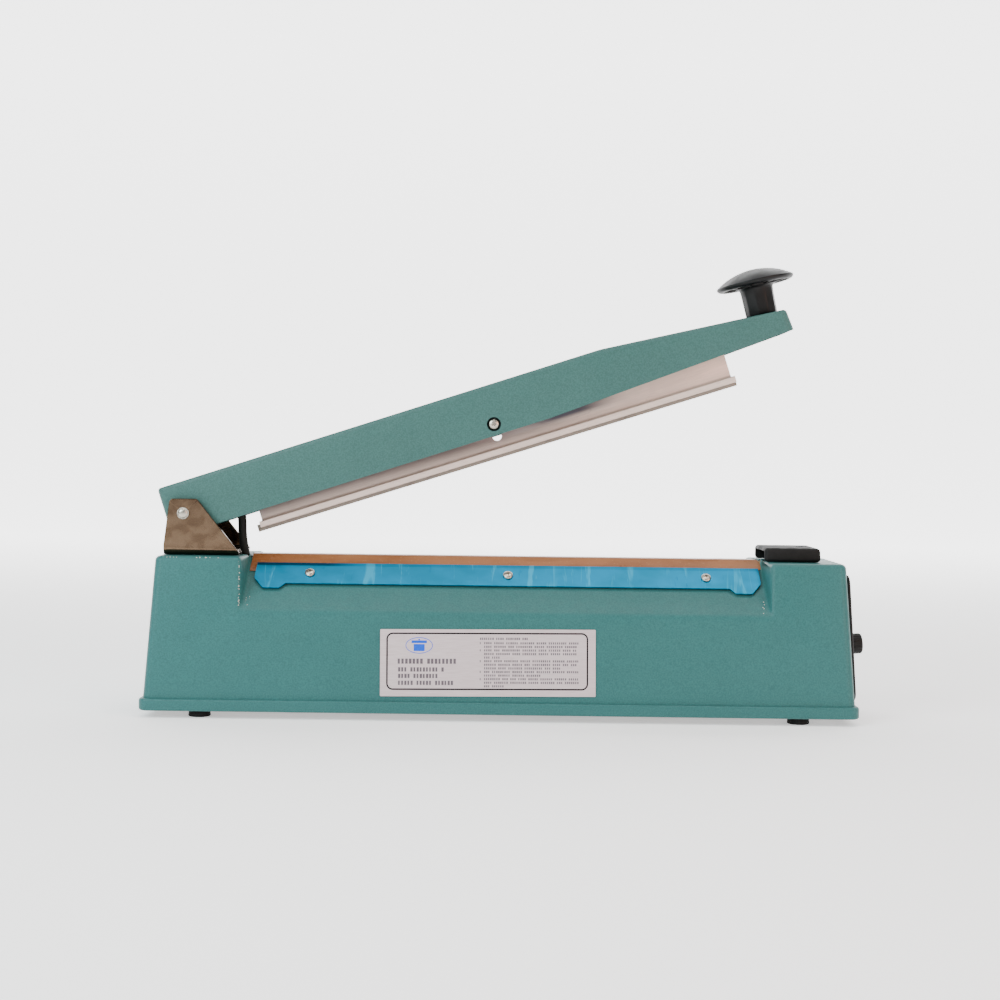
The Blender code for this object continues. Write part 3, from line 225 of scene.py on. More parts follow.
def lathe(name, profile, sides=64, matrix=None, ribs=None):
    """A turned solid from a profile of (radius, height); ribs(angle, radius, height) may change the radius."""
    shape = bmesh.new()
    rings = []
    for radius, height in profile:
        if radius < 1e-6:
            rings.append([shape.verts.new((0.0, 0.0, height))])
            continue
        ring = []
        for side in range(sides):
            angle = 2 * math.pi * side / sides
            reach = ribs(angle, radius, height) if ribs else radius
            ring.append(shape.verts.new((reach * math.cos(angle), reach * math.sin(angle), height)))
        rings.append(ring)
    closed = profile[0][0] > 1e-6
    pairs = list(zip(rings, rings[1:])) + ([(rings[-1], rings[0])] if closed else [])
    for upper, lower in pairs:
        for side in range(sides):
            after = (side + 1) % sides
            corners = [upper[side % len(upper)], upper[after % len(upper)], lower[after % len(lower)],
                       lower[side % len(lower)]]
            unique = list(dict.fromkeys(corners))
            if len(unique) > 2:
                shape.faces.new(unique)
    bmesh.ops.recalc_face_normals(shape, faces=shape.faces)
    return add_mesh(name, shape, matrix)


def fillet(points, radius, steps=6, only=None):
    """Round the corners of a closed outline, all of them or those whose numbers are in only."""
    result = []
    for index, corner in enumerate(points):
        here = Vector(corner)
        if only is not None and index not in only:
            result.append(tuple(here))
            continue
        before = (Vector(points[index - 1]) - here).normalized()
        after = (Vector(points[(index + 1) % len(points)]) - here).normalized()
        half = before.angle(after) / 2
        centre = here + (before + after).normalized() * radius / math.sin(half)
        start = here + before * radius / math.tan(half) - centre
        end = here + after * radius / math.tan(half) - centre
        sweep = math.atan2(start.x * end.y - start.y * end.x, start.dot(end))
        for step in range(steps + 1):
            c, s = math.cos(sweep * step / steps), math.sin(sweep * step / steps)
            result.append((centre.x + start.x * c - start.y * s, centre.y + start.x * s + start.y * c))
    return result


def sweep_tube(name, points, radius, sides=14, matrix=None, closed_ends=True):
    """A round tube along points, in millimetres, with frames carried along the line."""
    line = [Vector(point) for point in points]
    shape = bmesh.new()
    rings = []
    normal = None
    for index, point in enumerate(line):
        ahead = line[min(index + 1, len(line) - 1)] - line[max(index - 1, 0)]
        ahead.normalize()
        if normal is None:
            normal = ahead.orthogonal().normalized()
        normal = (normal - ahead * normal.dot(ahead)).normalized()
        other = ahead.cross(normal)
        rings.append([shape.verts.new(point + (normal * math.cos(2 * math.pi * k / sides)
                                               + other * math.sin(2 * math.pi * k / sides)) * radius)
                      for k in range(sides)])
    for first, second in zip(rings, rings[1:]):
        for k in range(sides):
            shape.faces.new((first[k], first[(k + 1) % sides], second[(k + 1) % sides], second[k]))
    if closed_ends:
        shape.faces.new(rings[0])
        shape.faces.new(rings[-1])
    bmesh.ops.recalc_face_normals(shape, faces=shape.faces)
    return add_mesh(name, shape, matrix)


def smooth_line(points, per_span):
    """Points of a Catmull-Rom curve through the given ones."""
    knots = [Vector(point) for point in points]
    knots = [2 * knots[0] - knots[1], *knots, 2 * knots[-1] - knots[-2]]
    result = []
    for index in range(len(points) - 1):
        a, b, c, d = knots[index:index + 4]
        for step in range(per_span):
            t = step / per_span
            result.append(0.5 * (2 * b + (c - a) * t + (2 * a - 5 * b + 4 * c - d) * t * t
                                 + (3 * b - a - 3 * c + d) * t ** 3))
    return result + [knots[-2]]


def apply_modifiers(item):
    """Bake the modifiers into the mesh."""
    bpy.context.view_layer.update()
    graph = bpy.context.evaluated_depsgraph_get()
    mesh = bpy.data.meshes.new_from_object(item.evaluated_get(graph))
    item.modifiers.clear()
    item.data = mesh
    return item


def cut(item, *cutters, operation="DIFFERENCE"):
    """Boolean the cutters into the mesh and drop them."""
    for cutter in cutters:
        step = item.modifiers.new("boolean", "BOOLEAN")
        step.operation = operation
        step.solver = "EXACT"
        step.object = cutter
    apply_modifiers(item)
    for cutter in cutters:
        bpy.data.objects.remove(cutter, do_unlink=True)
    return item


def join(item, *others):
    return cut(item, *others, operation="UNION")


def bevel(item, width, segments=3, angle=30.0, weighted=False, clamp=True):
    """Rounded edges, applied at once."""
    step = item.modifiers.new("bevel", "BEVEL")
    step.width = width * MM
    step.segments = segments
    step.limit_method = "WEIGHT" if weighted else "ANGLE"
    step.angle_limit = math.radians(angle)
    step.use_clamp_overlap = clamp
    return apply_modifiers(item)


def hold_faces(item, inset, least=60.0):
    """Inset the large faces, so that what marks their edges does not spread over them."""
    shape = bmesh.new()
    shape.from_mesh(item.data)
    large = [face for face in shape.faces if face.calc_area() > least * MM * MM]
    bmesh.ops.inset_individual(shape, faces=large, thickness=inset * MM)
    shape.to_mesh(item.data)
    shape.free()


def bake_place(item):
    """Move an item's place into its mesh, so that its box is that of its shape and not of its turned axes."""
    item.data.transform(item.matrix_world)
    item.matrix_world = Matrix()


def weight_uprights(item):
    """Mark the edges that run up a block's walls, for a weighted bevel."""
    weights = item.data.attributes.new("bevel_weight_edge", "FLOAT", "EDGE")
    for edge in item.data.edges:
        a, b = (item.data.vertices[index].co for index in edge.vertices)
        weights.data[edge.index].value = 1.0 if abs(a.z - b.z) > 2 * MM else 0.0


def smooth(item, angle=32.0):
    item.data.shade_smooth()
    item.data.set_sharp_from_angle(angle=math.radians(angle))
    return item


def merge(name, items):
    """Join several mesh objects into one; the first one's matrix is kept."""
    shape = bmesh.new()
    first = items[0].matrix_world.copy()
    materials = []
    for item in items:
        copy = item.data.copy()
        copy.transform(first.inverted() @ item.matrix_world)
        offset = []
        for finish in item.data.materials:
            if finish not in materials:
                materials.append(finish)
            offset.append(materials.index(finish))
        start = len(shape.faces)
        shape.from_mesh(copy)
        shape.faces.ensure_lookup_table()
        for face in shape.faces[start:]:
            face.material_index = offset[face.material_index] if offset else 0
    mesh = bpy.data.meshes.new(name)
    shape.to_mesh(mesh)
    shape.free()
    for item in items:
        bpy.data.objects.remove(item, do_unlink=True)
    for finish in materials:
        mesh.materials.append(finish)
    result = bpy.data.objects.new(name, mesh)
    bpy.context.scene.collection.objects.link(result)
    result.matrix_world = first
    return result


def settle(item, body, finish, slot, *nodes, smooth_angle=32.0):
    """Give a finished piece its material, its body and the CAD nodes that it stands for, which it hides; the slot
    is not used.
    """
    if finish is not None:
        item.data.materials.clear()
        item.data.materials.append(finish)
    if smooth_angle:
        smooth(item, smooth_angle)
    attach(item, body)
    if nodes:
        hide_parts(*nodes)
    return item


# ---------------------------------------------------------------- materials

class Finish:
    """A node material under construction: a Principled shader, and short calls for the usual nodes."""

    def __init__(self, name, colour, roughness, metallic=0.0, **settings):
        self.material = bpy.data.materials.new(name)
        self.material.use_nodes = True
        self.nodes = self.material.node_tree.nodes
        self.links = self.material.node_tree.links
        self.shader = self.nodes["Principled BSDF"]
        self.colour = srgb(colour)
        self.set("Base Color", self.colour)
        self.set("Roughness", roughness)
        self.set("Metallic", metallic)
        for key, value in settings.items():
            self.set(key.replace("_", " "), value)
        self.normal = None

    def set(self, key, value):
        socket = self.shader.inputs[key]
        if isinstance(value, bpy.types.NodeSocket):
            self.links.new(value, socket)
        else:
            socket.default_value = value

    def node(self, kind, **settings):
        item = self.nodes.new(kind)
        for key, value in settings.items():
            setattr(item, key, value)
        return item

    def plug(self, item, key, value):
        if isinstance(value, bpy.types.NodeSocket):
            self.links.new(value, item.inputs[key])
        else:
            item.inputs[key].default_value = value

    def place(self, scale=(1, 1, 1), turn=(0, 0, 0)):
        """Coordinates fixed to the piece, stretched by scale."""
        source = self.node("ShaderNodeTexCoord")
        mapping = self.node("ShaderNodeMapping")
        self.links.new(source.outputs["Object"], mapping.inputs["Vector"])
        mapping.inputs["Scale"].default_value = scale
        mapping.inputs["Rotation"].default_value = turn
        return mapping.outputs["Vector"]

    def noise(self, size, detail=3.0, rough=0.55, stretch=(1, 1, 1), turn=(0, 0, 0), distortion=0.0):
        """Noise whose features are about size millimetres."""
        item = self.node("ShaderNodeTexNoise")
        self.plug(item, "Vector", self.place(stretch, turn))
        for key, value in (("Scale", 1.0 / (size * MM)), ("Detail", detail), ("Roughness", rough),
                           ("Distortion", distortion)):
            self.plug(item, key, value)
        return item.outputs["Fac"]

    def cells(self, size, feature="F1", stretch=(1, 1, 1), output="Distance"):
        item = self.node("ShaderNodeTexVoronoi", feature=feature)
        self.plug(item, "Vector", self.place(stretch))
        self.plug(item, "Scale", 1.0 / (size * MM))
        return item.outputs[output]

    def ramp(self, value, low, high, start=0.0, end=1.0, smooth_step=True):
        """Remap value from low..high to start..end, clamped."""
        item = self.node("ShaderNodeMapRange", interpolation_type="SMOOTHSTEP" if smooth_step else "LINEAR")
        self.plug(item, "Value", value)
        for key, number in (("From Min", low), ("From Max", high), ("To Min", start), ("To Max", end)):
            self.plug(item, key, number)
        return item.outputs["Result"]

    def maths(self, operation, a, b=0.0):
        item = self.node("ShaderNodeMath", operation=operation)
        self.plug(item, 0, a)
        self.plug(item, 1, b)
        return item.outputs[0]

    def blend(self, amount, under, over, mode="MIX"):
        """Mix two colours, given as sRGB tuples or sockets."""
        item = self.node("ShaderNodeMix", data_type="RGBA", blend_type=mode)
        self.plug(item, 0, amount)
        for key, value in ((6, under), (7, over)):
            self.plug(item, key, srgb(value) if isinstance(value, tuple) else value)
        return item.outputs[2]

    def axis(self, name):
        """One object coordinate, in metres."""
        source = self.node("ShaderNodeTexCoord")
        split = self.node("ShaderNodeSeparateXYZ")
        self.links.new(source.outputs["Object"], split.inputs[0])
        return split.outputs[name]

    def bump(self, height, depth, strength=1.0):
        """Add relief of depth millimetres; several calls stack."""
        item = self.node("ShaderNodeBump")
        self.plug(item, "Height", height)
        self.plug(item, "Strength", strength)
        self.plug(item, "Distance", depth * MM)
        if self.normal is not None:
            self.links.new(self.normal, item.inputs["Normal"])
        self.normal = item.outputs["Normal"]
        self.set("Normal", self.normal)

    def edge_wear_and_highlight(self, low=0.53, high=0.60):
        """Mask of the convex edges, from the mesh's pointiness: worn paint on the casting, painted highlights on
        the bright sheet.
        """
        return self.ramp(self.node("ShaderNodeNewGeometry").outputs["Pointiness"], low, high)


def srgb(colour):
    """An sRGB colour in 0..255 as linear RGBA."""
    def channel(value):
        value = value / 255
        return value / 12.92 if value <= 0.04045 else ((value + 0.055) / 1.055) ** 2.4
    return (*(channel(value) for value in colour[:3]), 1.0)


def sand_paint(name, colour, worn=0.56):
    """Baked paint with a fine sand texture, slightly mottled, and worn pale in fine chips on its edges."""
    f = Finish(name, colour, 0.42)
    speck = f.noise(0.85, 2.0, 0.6)
    cloud = f.noise(60, 3.0, 0.6)
    body = f.blend(f.ramp(speck, 0.30, 0.70), tuple(v * 0.93 for v in colour), tuple(v * 1.07 for v in colour))
    shade = f.blend(f.ramp(cloud, 0.35, 0.65), (250, 250, 250), (255, 255, 255))
    body = f.blend(1.0, body, shade, "MULTIPLY")
    chips = f.ramp(f.noise(3.4, 3.0, 0.7), 0.56, 0.62)
    outer = f.ramp(f.maths("ABSOLUTE", f.axis("Y")), 26 * MM, 30 * MM)
    wear = f.maths("MULTIPLY", f.maths("MULTIPLY", f.edge_wear_and_highlight(worn, worn + 0.08), outer), chips)
    body = f.blend(wear, body, (186, 196, 186))
    f.set("Base Color", body)
    f.set("Roughness", f.ramp(f.noise(5.0, 2.0), 0.3, 0.7, 0.38, 0.48))
    f.set("Specular IOR Level", 0.22)
    f.bump(f.noise(0.9, 2.0, 0.5), 0.08, 0.5)
    f.bump(f.noise(3.2, 1.0, 0.5), 0.10, 0.25)
    return f.material


def chip_paint(name, colour=(214, 212, 198)):
    """Bare primer and metal showing in a chip."""
    f = Finish(name, colour, 0.6)
    f.set("Base Color", f.blend(f.ramp(f.noise(0.8), 0.4, 0.6), colour, tuple(v * 0.8 for v in colour)))
    f.bump(f.noise(0.5), 0.05, 0.4)
    return f.material


def brushed(name, colour, roughness=0.32, along=(1, 40, 40), depth=0.012, smudge=0.10, **settings):
    """Metal with fine drawn lines along one axis, and soft smudges."""
    f = Finish(name, colour, roughness, 1.0, **settings)
    lines = f.noise(9.0, 3.0, 0.6, stretch=along)
    cloud = f.noise(18, 3.0, 0.6)
    dark = tuple(value * (1 - smudge) for value in colour)
    body = f.blend(f.ramp(lines, 0.3, 0.7), tuple(v * (1 - smudge * 0.6) for v in colour), colour)
    body = f.blend(f.ramp(cloud, 0.40, 0.68, 0.0, 0.8), body, dark)
    f.set("Base Color", body)
    f.set("Roughness", f.ramp(f.noise(12, 3.0), 0.3, 0.7, roughness * 0.8, roughness * 1.35))
    f.bump(lines, depth, 0.5)
    return f.material


def aluminium(name, colour=(236, 214, 202)):
    """Extruded aluminium, half diffuse, streaked along its length, with painted shade darkening the web's top
    where the arm overhangs it, navy-tinted in the middle of that span.
    """
    f = Finish(name, colour, 0.40, 0.45)
    lines = f.noise(14.0, 4.0, 0.65, stretch=(1, 30, 30))
    cloud = f.noise(11, 4.0, 0.6, stretch=(0.35, 1, 1))
    marks = f.ramp(f.noise(5.0, 4.0, 0.7, stretch=(0.5, 1, 1), distortion=0.8), 0.60, 0.72, 0.0, 0.4)
    body = f.blend(f.ramp(lines, 0.35, 0.65), tuple(v * 0.94 for v in colour), colour)
    body = f.blend(f.ramp(cloud, 0.45, 0.65, 0.0, 0.5), body, tuple(v * 0.90 for v in colour))
    body = f.blend(marks, body, (190, 168, 158))
    along, up = f.axis("X"), f.axis("Z")
    # Painted shade: the web's top is darkened where the arm overhangs it, fading out along the bar.
    shade = f.maths("MULTIPLY", f.ramp(up, -17.6 * MM, -10.5 * MM), f.ramp(along, 200 * MM, 262 * MM, 0.85, 0.0))
    body = f.blend(shade, body, (112, 98, 100))
    # Painted shade with a navy tint, in the middle of the web's shaded top.
    near = f.maths("MULTIPLY", f.ramp(along, 206 * MM, 236 * MM), f.ramp(along, 248 * MM, 286 * MM, 1.0, 0.0))
    navy_shade = f.maths("MULTIPLY", near, f.ramp(up, -14.5 * MM, -10.5 * MM, 0.0, 0.9))
    body = f.blend(navy_shade, body, (40, 46, 66))
    f.set("Base Color", body)
    f.set("Roughness", f.ramp(cloud, 0.3, 0.7, 0.32, 0.48))
    f.bump(lines, 0.02, 0.5)
    return f.material


def mirror_steel(name, low=98.0, high=135.0):
    """Brown zinc plate, mirror-bright, with polishing lines: a painted reflection darkens it above the bend at its
    foot and towards its top, and painted highlights brighten its edges.
    """
    f = Finish(name, (112, 92, 74), 0.18, 1.0)
    lines = f.noise(7.0, 3.0, 0.6, stretch=(1, 1, 22))
    body = f.blend(f.ramp(f.noise(9, 4.0, 0.6), 0.42, 0.62), (118, 97, 78), (102, 82, 65))
    rise = f.axis("Z")
    # Painted reflection: a dark band above the bend at the foot, and darker towards the top.
    body = f.blend(f.ramp(rise, low * MM, (low + 7) * MM, 0.6, 0.0), body, (60, 46, 36))
    body = f.blend(f.ramp(rise, (high - 16) * MM, high * MM, 0.0, 0.35), body, (92, 72, 56))
    rust = f.ramp(f.noise(2.2, 4.0, 0.7), 0.66, 0.72, 0.0, 0.7)
    body = f.blend(rust, body, (110, 74, 46))
    # Painted highlight: the convex edges of the sheet are brightened to near white.
    f.set("Base Color", f.blend(f.edge_wear_and_highlight(0.56, 0.62), body, (244, 240, 232)))
    f.set("Roughness", f.ramp(f.noise(5, 3.0), 0.3, 0.7, 0.14, 0.26))
    f.bump(f.noise(16, 2.0), 0.08, 0.5)
    f.bump(lines, 0.006, 0.5)
    return f.material


def plated(name, colour=(184, 178, 166), roughness=0.28):
    """Bright plated screws and pins."""
    f = Finish(name, colour, roughness, 1.0)
    stain = f.ramp(f.noise(1.6, 3.0, 0.6), 0.50, 0.66, 0.0, 0.6)
    f.set("Base Color", f.blend(stain, colour, tuple(v * 0.66 for v in colour)))
    f.set("Roughness", f.ramp(f.noise(1.1, 3.0), 0.3, 0.7, roughness * 0.7, roughness * 1.5))
    f.bump(f.noise(0.5, 2.0), 0.01, 0.4)
    return f.material


def moulded(name, colour, roughness=0.45, grain=0.35, depth=0.02, coat=0.0):
    """Moulded plastic: even colour, fine spark-eroded grain, slow sheen changes and a little dust."""
    f = Finish(name, colour, roughness)
    cloud = f.noise(14, 3.0, 0.6)
    dust = f.ramp(f.noise(2.2, 4.0, 0.7), 0.58, 0.74, 0.0, 0.12)
    dark, light = tuple(v * 0.9 for v in colour), tuple(min(255, v * 1.08) for v in colour)
    body = f.blend(f.ramp(cloud, 0.35, 0.65), dark, light)
    f.set("Base Color", f.blend(dust, body, tuple(min(255, v + 38) for v in colour)))
    f.set("Roughness", f.ramp(f.noise(7, 3.0), 0.3, 0.7, roughness * 0.85, roughness * 1.2))
    f.set("Coat Weight", coat)
    f.set("Specular IOR Level", 0.22)
    f.bump(f.noise(grain, 2.0), depth, 0.5)
    return f.material


def rubber(name, colour):
    f = Finish(name, colour, 0.72, Specular_IOR_Level=0.3)
    f.set("Base Color", f.blend(f.ramp(f.noise(4, 3.0), 0.4, 0.65), colour, tuple(v * 0.84 for v in colour)))
    f.bump(f.noise(0.4, 2.0), 0.03, 0.5)
    return f.material


def silicone(name):
    """Ribbed silicone of the press strip, warm grey, with pressed-in marks."""
    f = Finish(name, (120, 110, 98), 0.5, Subsurface_Weight=0.08, Subsurface_Scale=0.002)
    marks = f.ramp(f.noise(3.0, 4.0, 0.7, stretch=(0.3, 1, 1)), 0.5, 0.7, 0.0, 0.8)
    f.set("Base Color", f.blend(marks, (120, 110, 98), (92, 82, 72)))
    f.bump(f.noise(0.8, 2.0), 0.03, 0.4)
    return f.material


def tape_cloth(name):
    """PTFE-coated glass cloth: brown, a fine plain weave under a waxy coat, browned unevenly by use."""
    f = Finish(name, (128, 80, 44), 0.42, Coat_Weight=0.1, Coat_Roughness=0.3, Specular_IOR_Level=0.35)
    weave = f.node("ShaderNodeTexBrick")
    f.plug(weave, "Vector", f.place((1, 1, 1)))
    for key, value in (("Scale", 1.0 / (1.1 * MM)), ("Mortar Size", 0.06), ("Mortar Smooth", 0.6),
                       ("Brick Width", 0.9), ("Row Height", 0.5)):
        f.plug(weave, key, value)
    cloud = f.noise(16, 4.0, 0.6, stretch=(0.5, 1, 1))
    streak = f.noise(8, 4.0, 0.65, stretch=(0.15, 1, 1))
    body = f.blend(f.ramp(cloud, 0.35, 0.65), (124, 76, 42), (138, 88, 52))
    body = f.blend(f.ramp(streak, 0.54, 0.74, 0.0, 0.3), body, (92, 54, 28))
    body = f.blend(f.ramp(f.noise(1.1, 3.0, 0.7), 0.60, 0.68, 0.0, 0.4), body, (176, 130, 86))
    f.set("Base Color", body)
    f.set("Roughness", f.ramp(cloud, 0.3, 0.7, 0.26, 0.42))
    f.bump(weave.outputs["Fac"], 0.03, 0.35)
    f.bump(f.noise(5, 3.0, stretch=(0.4, 1, 1)), 0.10, 0.4)
    return f.material


def film_sheet(name):
    """Blue protective film still on the clamp plate: glossy, with creases, bubbles and a darker band along its top
    edge, most at the left.
    """
    f = Finish(name, (0, 120, 160), 0.36, 0.92)
    cloud = f.noise(22, 4.0, 0.6, stretch=(0.6, 1, 1))
    crease = f.noise(9.0, 4.0, 0.7, stretch=(1, 0.10, 0.10), distortion=0.6)
    body = f.blend(f.ramp(cloud, 0.35, 0.65), (0, 112, 146), (0, 122, 162))
    body = f.blend(f.ramp(crease, 0.56, 0.66, 0.0, 0.4), body, (60, 178, 208))
    shade = f.noise(5.0, 4.0, 0.7, stretch=(1, 0.2, 0.2))
    body = f.blend(f.ramp(shade, 0.62, 0.72, 0.0, 0.25), body, (4, 60, 100))
    # A darker band along the plate's top edge, strongest towards the left.
    hem = f.ramp(f.axis("Y"), -2.8 * MM, -1.8 * MM, 0.0, 0.8)
    left = f.ramp(f.axis("X"), -112 * MM, -90 * MM, 1.0, 0.25)
    body = f.blend(f.maths("MULTIPLY", hem, left), body, (6, 26, 52))
    f.set("Base Color", body)
    f.set("Roughness", f.ramp(crease, 0.3, 0.7, 0.34, 0.44))
    f.bump(f.noise(14, 2.0, stretch=(1, 0.3, 0.3)), 0.05, 0.3)
    f.bump(f.ramp(f.cells(4.0), 0.0, 0.14), 0.05, 0.25)
    return f.material


def label_sheet(name):
    """Silvered polyester label with a faint brushed lay and handling marks."""
    f = Finish(name, (188, 178, 178), 0.40, 0.25)
    lines = f.noise(9, 3.0, 0.6, stretch=(1, 24, 24))
    body = f.blend(f.ramp(lines, 0.35, 0.65), (190, 176, 178), (201, 188, 190))
    body = f.blend(f.ramp(f.noise(9, 4.0, 0.7), 0.62, 0.76, 0.0, 0.25), body, (160, 150, 150))
    f.set("Base Color", body)
    f.bump(f.noise(20, 2.0), 0.12, 0.3)
    return f.material


def print_ink(name, colour):
    """Screen-printed ink with pinholes."""
    f = Finish(name, colour, 0.4)
    worn = f.ramp(f.noise(0.7, 3.0, 0.7), 0.60, 0.68, 0.0, 0.4)
    f.set("Base Color", f.blend(worn, colour, tuple(min(255, v + 60) for v in colour)))
    f.set("Specular IOR Level", 0.25)
    f.bump(f.noise(0.6), 0.01, 0.3)
    return f.material


def glowing_lens(name, colour):
    f = Finish(name, colour, 0.12, Transmission_Weight=0.35, IOR=1.49, Coat_Weight=0.6)
    f.set("Base Color", f.blend(f.ramp(f.noise(3, 2.0), 0.4, 0.6), colour, tuple(v * 0.8 for v in colour)))
    f.bump(f.cells(1.2), 0.05, 0.4)
    return f.material


PAINT = sand_paint("base_paint", (46, 95, 94))
ARM_PAINT = sand_paint("arm_paint", (56, 92, 88), 1.2)
CHIP = chip_paint("chipped_paint")
ALUMINIUM = aluminium("bar_aluminium")
ZINC = mirror_steel("zinc_sheet")
PLATED = plated("fastener")
SPRING = plated("spring_steel", (158, 156, 152), 0.28)
# Dark steel for the bolt's bush, which shows as a dark ring round the bolt head.
DARK_STEEL = brushed("dark_steel", (34, 40, 40), 0.5)
STEEL = brushed("drawn_steel", (176, 176, 174), 0.34)
BRASS = brushed("brass", (196, 160, 92), 0.3)
NICHROME = brushed("nichrome", (150, 142, 136), 0.36)
BLACK = moulded("black_plastic", (12, 12, 12), 0.48, 0.4, 0.03)
COVER = moulded("cover_plastic", (16, 16, 16), 0.62, 0.4, 0.03)
HANDLE = moulded("handle_plastic", (9, 10, 11), 0.40, 0.5, 0.01)
RUBBER = rubber("black_rubber", (6, 6, 7))
CABLE = rubber("cable_black", (12, 13, 9))
SILICONE = silicone("silicone")
TAPE = tape_cloth("ptfe_tape")
FILM = film_sheet("film_plate")
LABEL = label_sheet("label_foil")
INK_BLACK = print_ink("label_black", (22, 16, 20))
INK_TITLE = print_ink("label_title_ink", (92, 84, 90))
INK_GREY = print_ink("label_grey", (104, 96, 102))
INK_BLUE = print_ink("label_blue", (2, 76, 200))
INK_WHITE = print_ink("panel_print", (222, 224, 222))
BOARD = moulded("circuit_board", (34, 92, 58), 0.4, 0.6, 0.02)
RELAY = moulded("relay_case", (42, 84, 150), 0.35)
CORE = brushed("core_laminations", (98, 100, 104), 0.4, along=(1, 1, 60), depth=0.08)
COPPER = brushed("enamelled_copper", (176, 98, 54), 0.3, along=(60, 1, 60), depth=0.08)
LEAD_RED = rubber("lead_red", (158, 34, 30))
RED = glowing_lens("red_plastic", (196, 24, 20))


# ---------------------------------------------------------------- base casting

def drafted_block(name, x, y, z, end_draft=END_DRAFT, side_draft=SIDE_DRAFT):
    """A block whose walls lean inwards towards its top; x and y are its limits at the bottom."""
    height = z[1] - z[0]
    shape = bmesh.new()
    bmesh.ops.create_cube(shape, size=1.0)
    for vertex in shape.verts:
        up = vertex.co.z > 0
        for index, limits, draft in ((0, x, end_draft), (1, y, side_draft)):
            side = 1 if vertex.co[index] > 0 else -1
            vertex.co[index] = limits[int(side > 0)] - side * (height * math.tan(draft) if up else 0.0)
        vertex.co.z = z[int(up)]
    return add_mesh(name, shape)


def recess_cutter():
    """Everything above the front slope, the ridge and the rear slope, between the end blocks."""
    past, foot = BASE_HIGH.y + 4, slope_y(RECESS_FLOOR)
    stations = ((-past, RECESS_FLOOR, RECESS_FRONT), (-foot, RECESS_FLOOR, RECESS_FRONT),
                (-RIDGE_HALF, RIDGE_TOP, RECESS_RIDGE), (RIDGE_HALF, RIDGE_TOP, RECESS_RIDGE),
                (foot, RECESS_FLOOR, RECESS_REAR), (past, RECESS_FLOOR, RECESS_REAR))
    shape = bmesh.new()
    rows = [[shape.verts.new(spot) for spot in ((x0, y, low), (x1, y, low), (x1, y, BLOCK_TOP + 8),
                                                (x0, y, BLOCK_TOP + 8))] for y, low, (x0, x1) in stations]
    for first, second in zip(rows, rows[1:]):
        for index in range(4):
            after = (index + 1) % 4
            shape.faces.new((first[index], first[after], second[after], second[index]))
    shape.faces.new(rows[0])
    shape.faces.new(rows[-1])
    bmesh.ops.recalc_face_normals(shape, faces=shape.faces)
    return add_mesh("bed_recess", shape)


def make_base():
    """Painted casting: drafted walls on a flange, two end blocks, and a ridge between two slopes."""
    flange_top = BASE_BOTTOM + FLANGE_HIGH
    flange = box("base_casting", (BASE_LOW.x, BASE_HIGH.x), (BASE_LOW.y, BASE_HIGH.y), (BASE_BOTTOM, flange_top))
    weight_uprights(flange)
    bevel(flange, FLANGE_CORNER, 8, weighted=True)
    bevel(flange, 1.4, 4, 50.0, clamp=False)
    body = drafted_block("base_walls", (BASE_LOW.x + FLANGE_STEP, BASE_HIGH.x - FLANGE_STEP),
                         (-WALL_HALF, WALL_HALF), (WALL_FOOT, BLOCK_TOP))
    weight_uprights(body)
    bevel(body, WALL_CORNER, 8, weighted=True)
    cut(body, recess_cutter())
    bevel(body, ARRIS, 6, 38.0, clamp=False)
    join(flange, body)
    inner_x = (BASE_LOW.x + FLANGE_STEP + WALL, BASE_HIGH.x - FLANGE_STEP - WALL)
    inner_y = WALL_HALF - WALL
    apex = RIDGE_TOP + RIDGE_HALF - WALL * math.sqrt(2)
    foot = inner_y - 3.4
    half = [(foot, 20.0), (foot, apex - foot), (apex - RIDGE_TOP + WALL, RIDGE_TOP - WALL)]
    ridge = prism("ridge_hollow", half + [(-y, z) for y, z in reversed(half)], "YZ",
                  (RECESS_FRONT[0] - 8, RECESS_FRONT[1] + 8))
    cut(flange,
        drafted_block("lower_hollow", inner_x, (-inner_y, inner_y), (BASE_BOTTOM - 2, RECESS_FLOOR - 5)),
        drafted_block("left_hollow", (inner_x[0] + 3.4, RECESS_FRONT[0] - WALL), (3 - inner_y, inner_y - 3),
                      (50, BLOCK_TOP - WALL)),
        drafted_block("right_hollow", (RECESS_FRONT[1] + WALL, inner_x[1] - 3.4), (3 - inner_y, inner_y - 3),
                      (50, BLOCK_TOP - WALL)),
        ridge,
        cylinder("cable_way", CABLE_HOLE - Vector((0, 0, 4)), 4.3, 24),
        box("panel_way", (190, 220), (-20, 20), (24, 80)),
        cylinder("gland_way", (GLAND_X, 36, GLAND_Z), 5.6, 20, "Y"),
        box("terminal_way", (149.5, 178.0), (-5.2, 5.2), (BED_TOP - 6.6, BED_TOP + 8)))
    for side in (-1, 1):
        for x in CLAMP_SCREW_X:
            hole = cylinder("clamp_way", (0, 0, 0), 1.7, 24)
            hole.matrix_world = plate_matrix(side) @ Matrix.Translation(Vector((x, CLAMP_DOWN, 0)) * MM)
            bpy.context.view_layer.update()
            cut(flange, hole)
    settle(flange, "base", PAINT, "base_paint", "base_housing", smooth_angle=34)
    return flange



def plate_matrix(side):
    """Axes of a clamp plate: x along the bed, y up the slope, z out of it, from the plate's top edge."""
    turn = math.pi / 4
    stand_off = 0.7 * math.sqrt(2) + GAP
    seat = Vector((0, -slope_y(PLATE_TOP_Z) - math.sin(turn) * stand_off,
                   PLATE_TOP_Z + math.cos(turn) * stand_off))
    matrix = Matrix.Translation(seat * MM) @ Matrix.Rotation(turn, 4, "X")
    return matrix if side < 0 else Matrix.Rotation(math.pi, 4, "Z") @ matrix


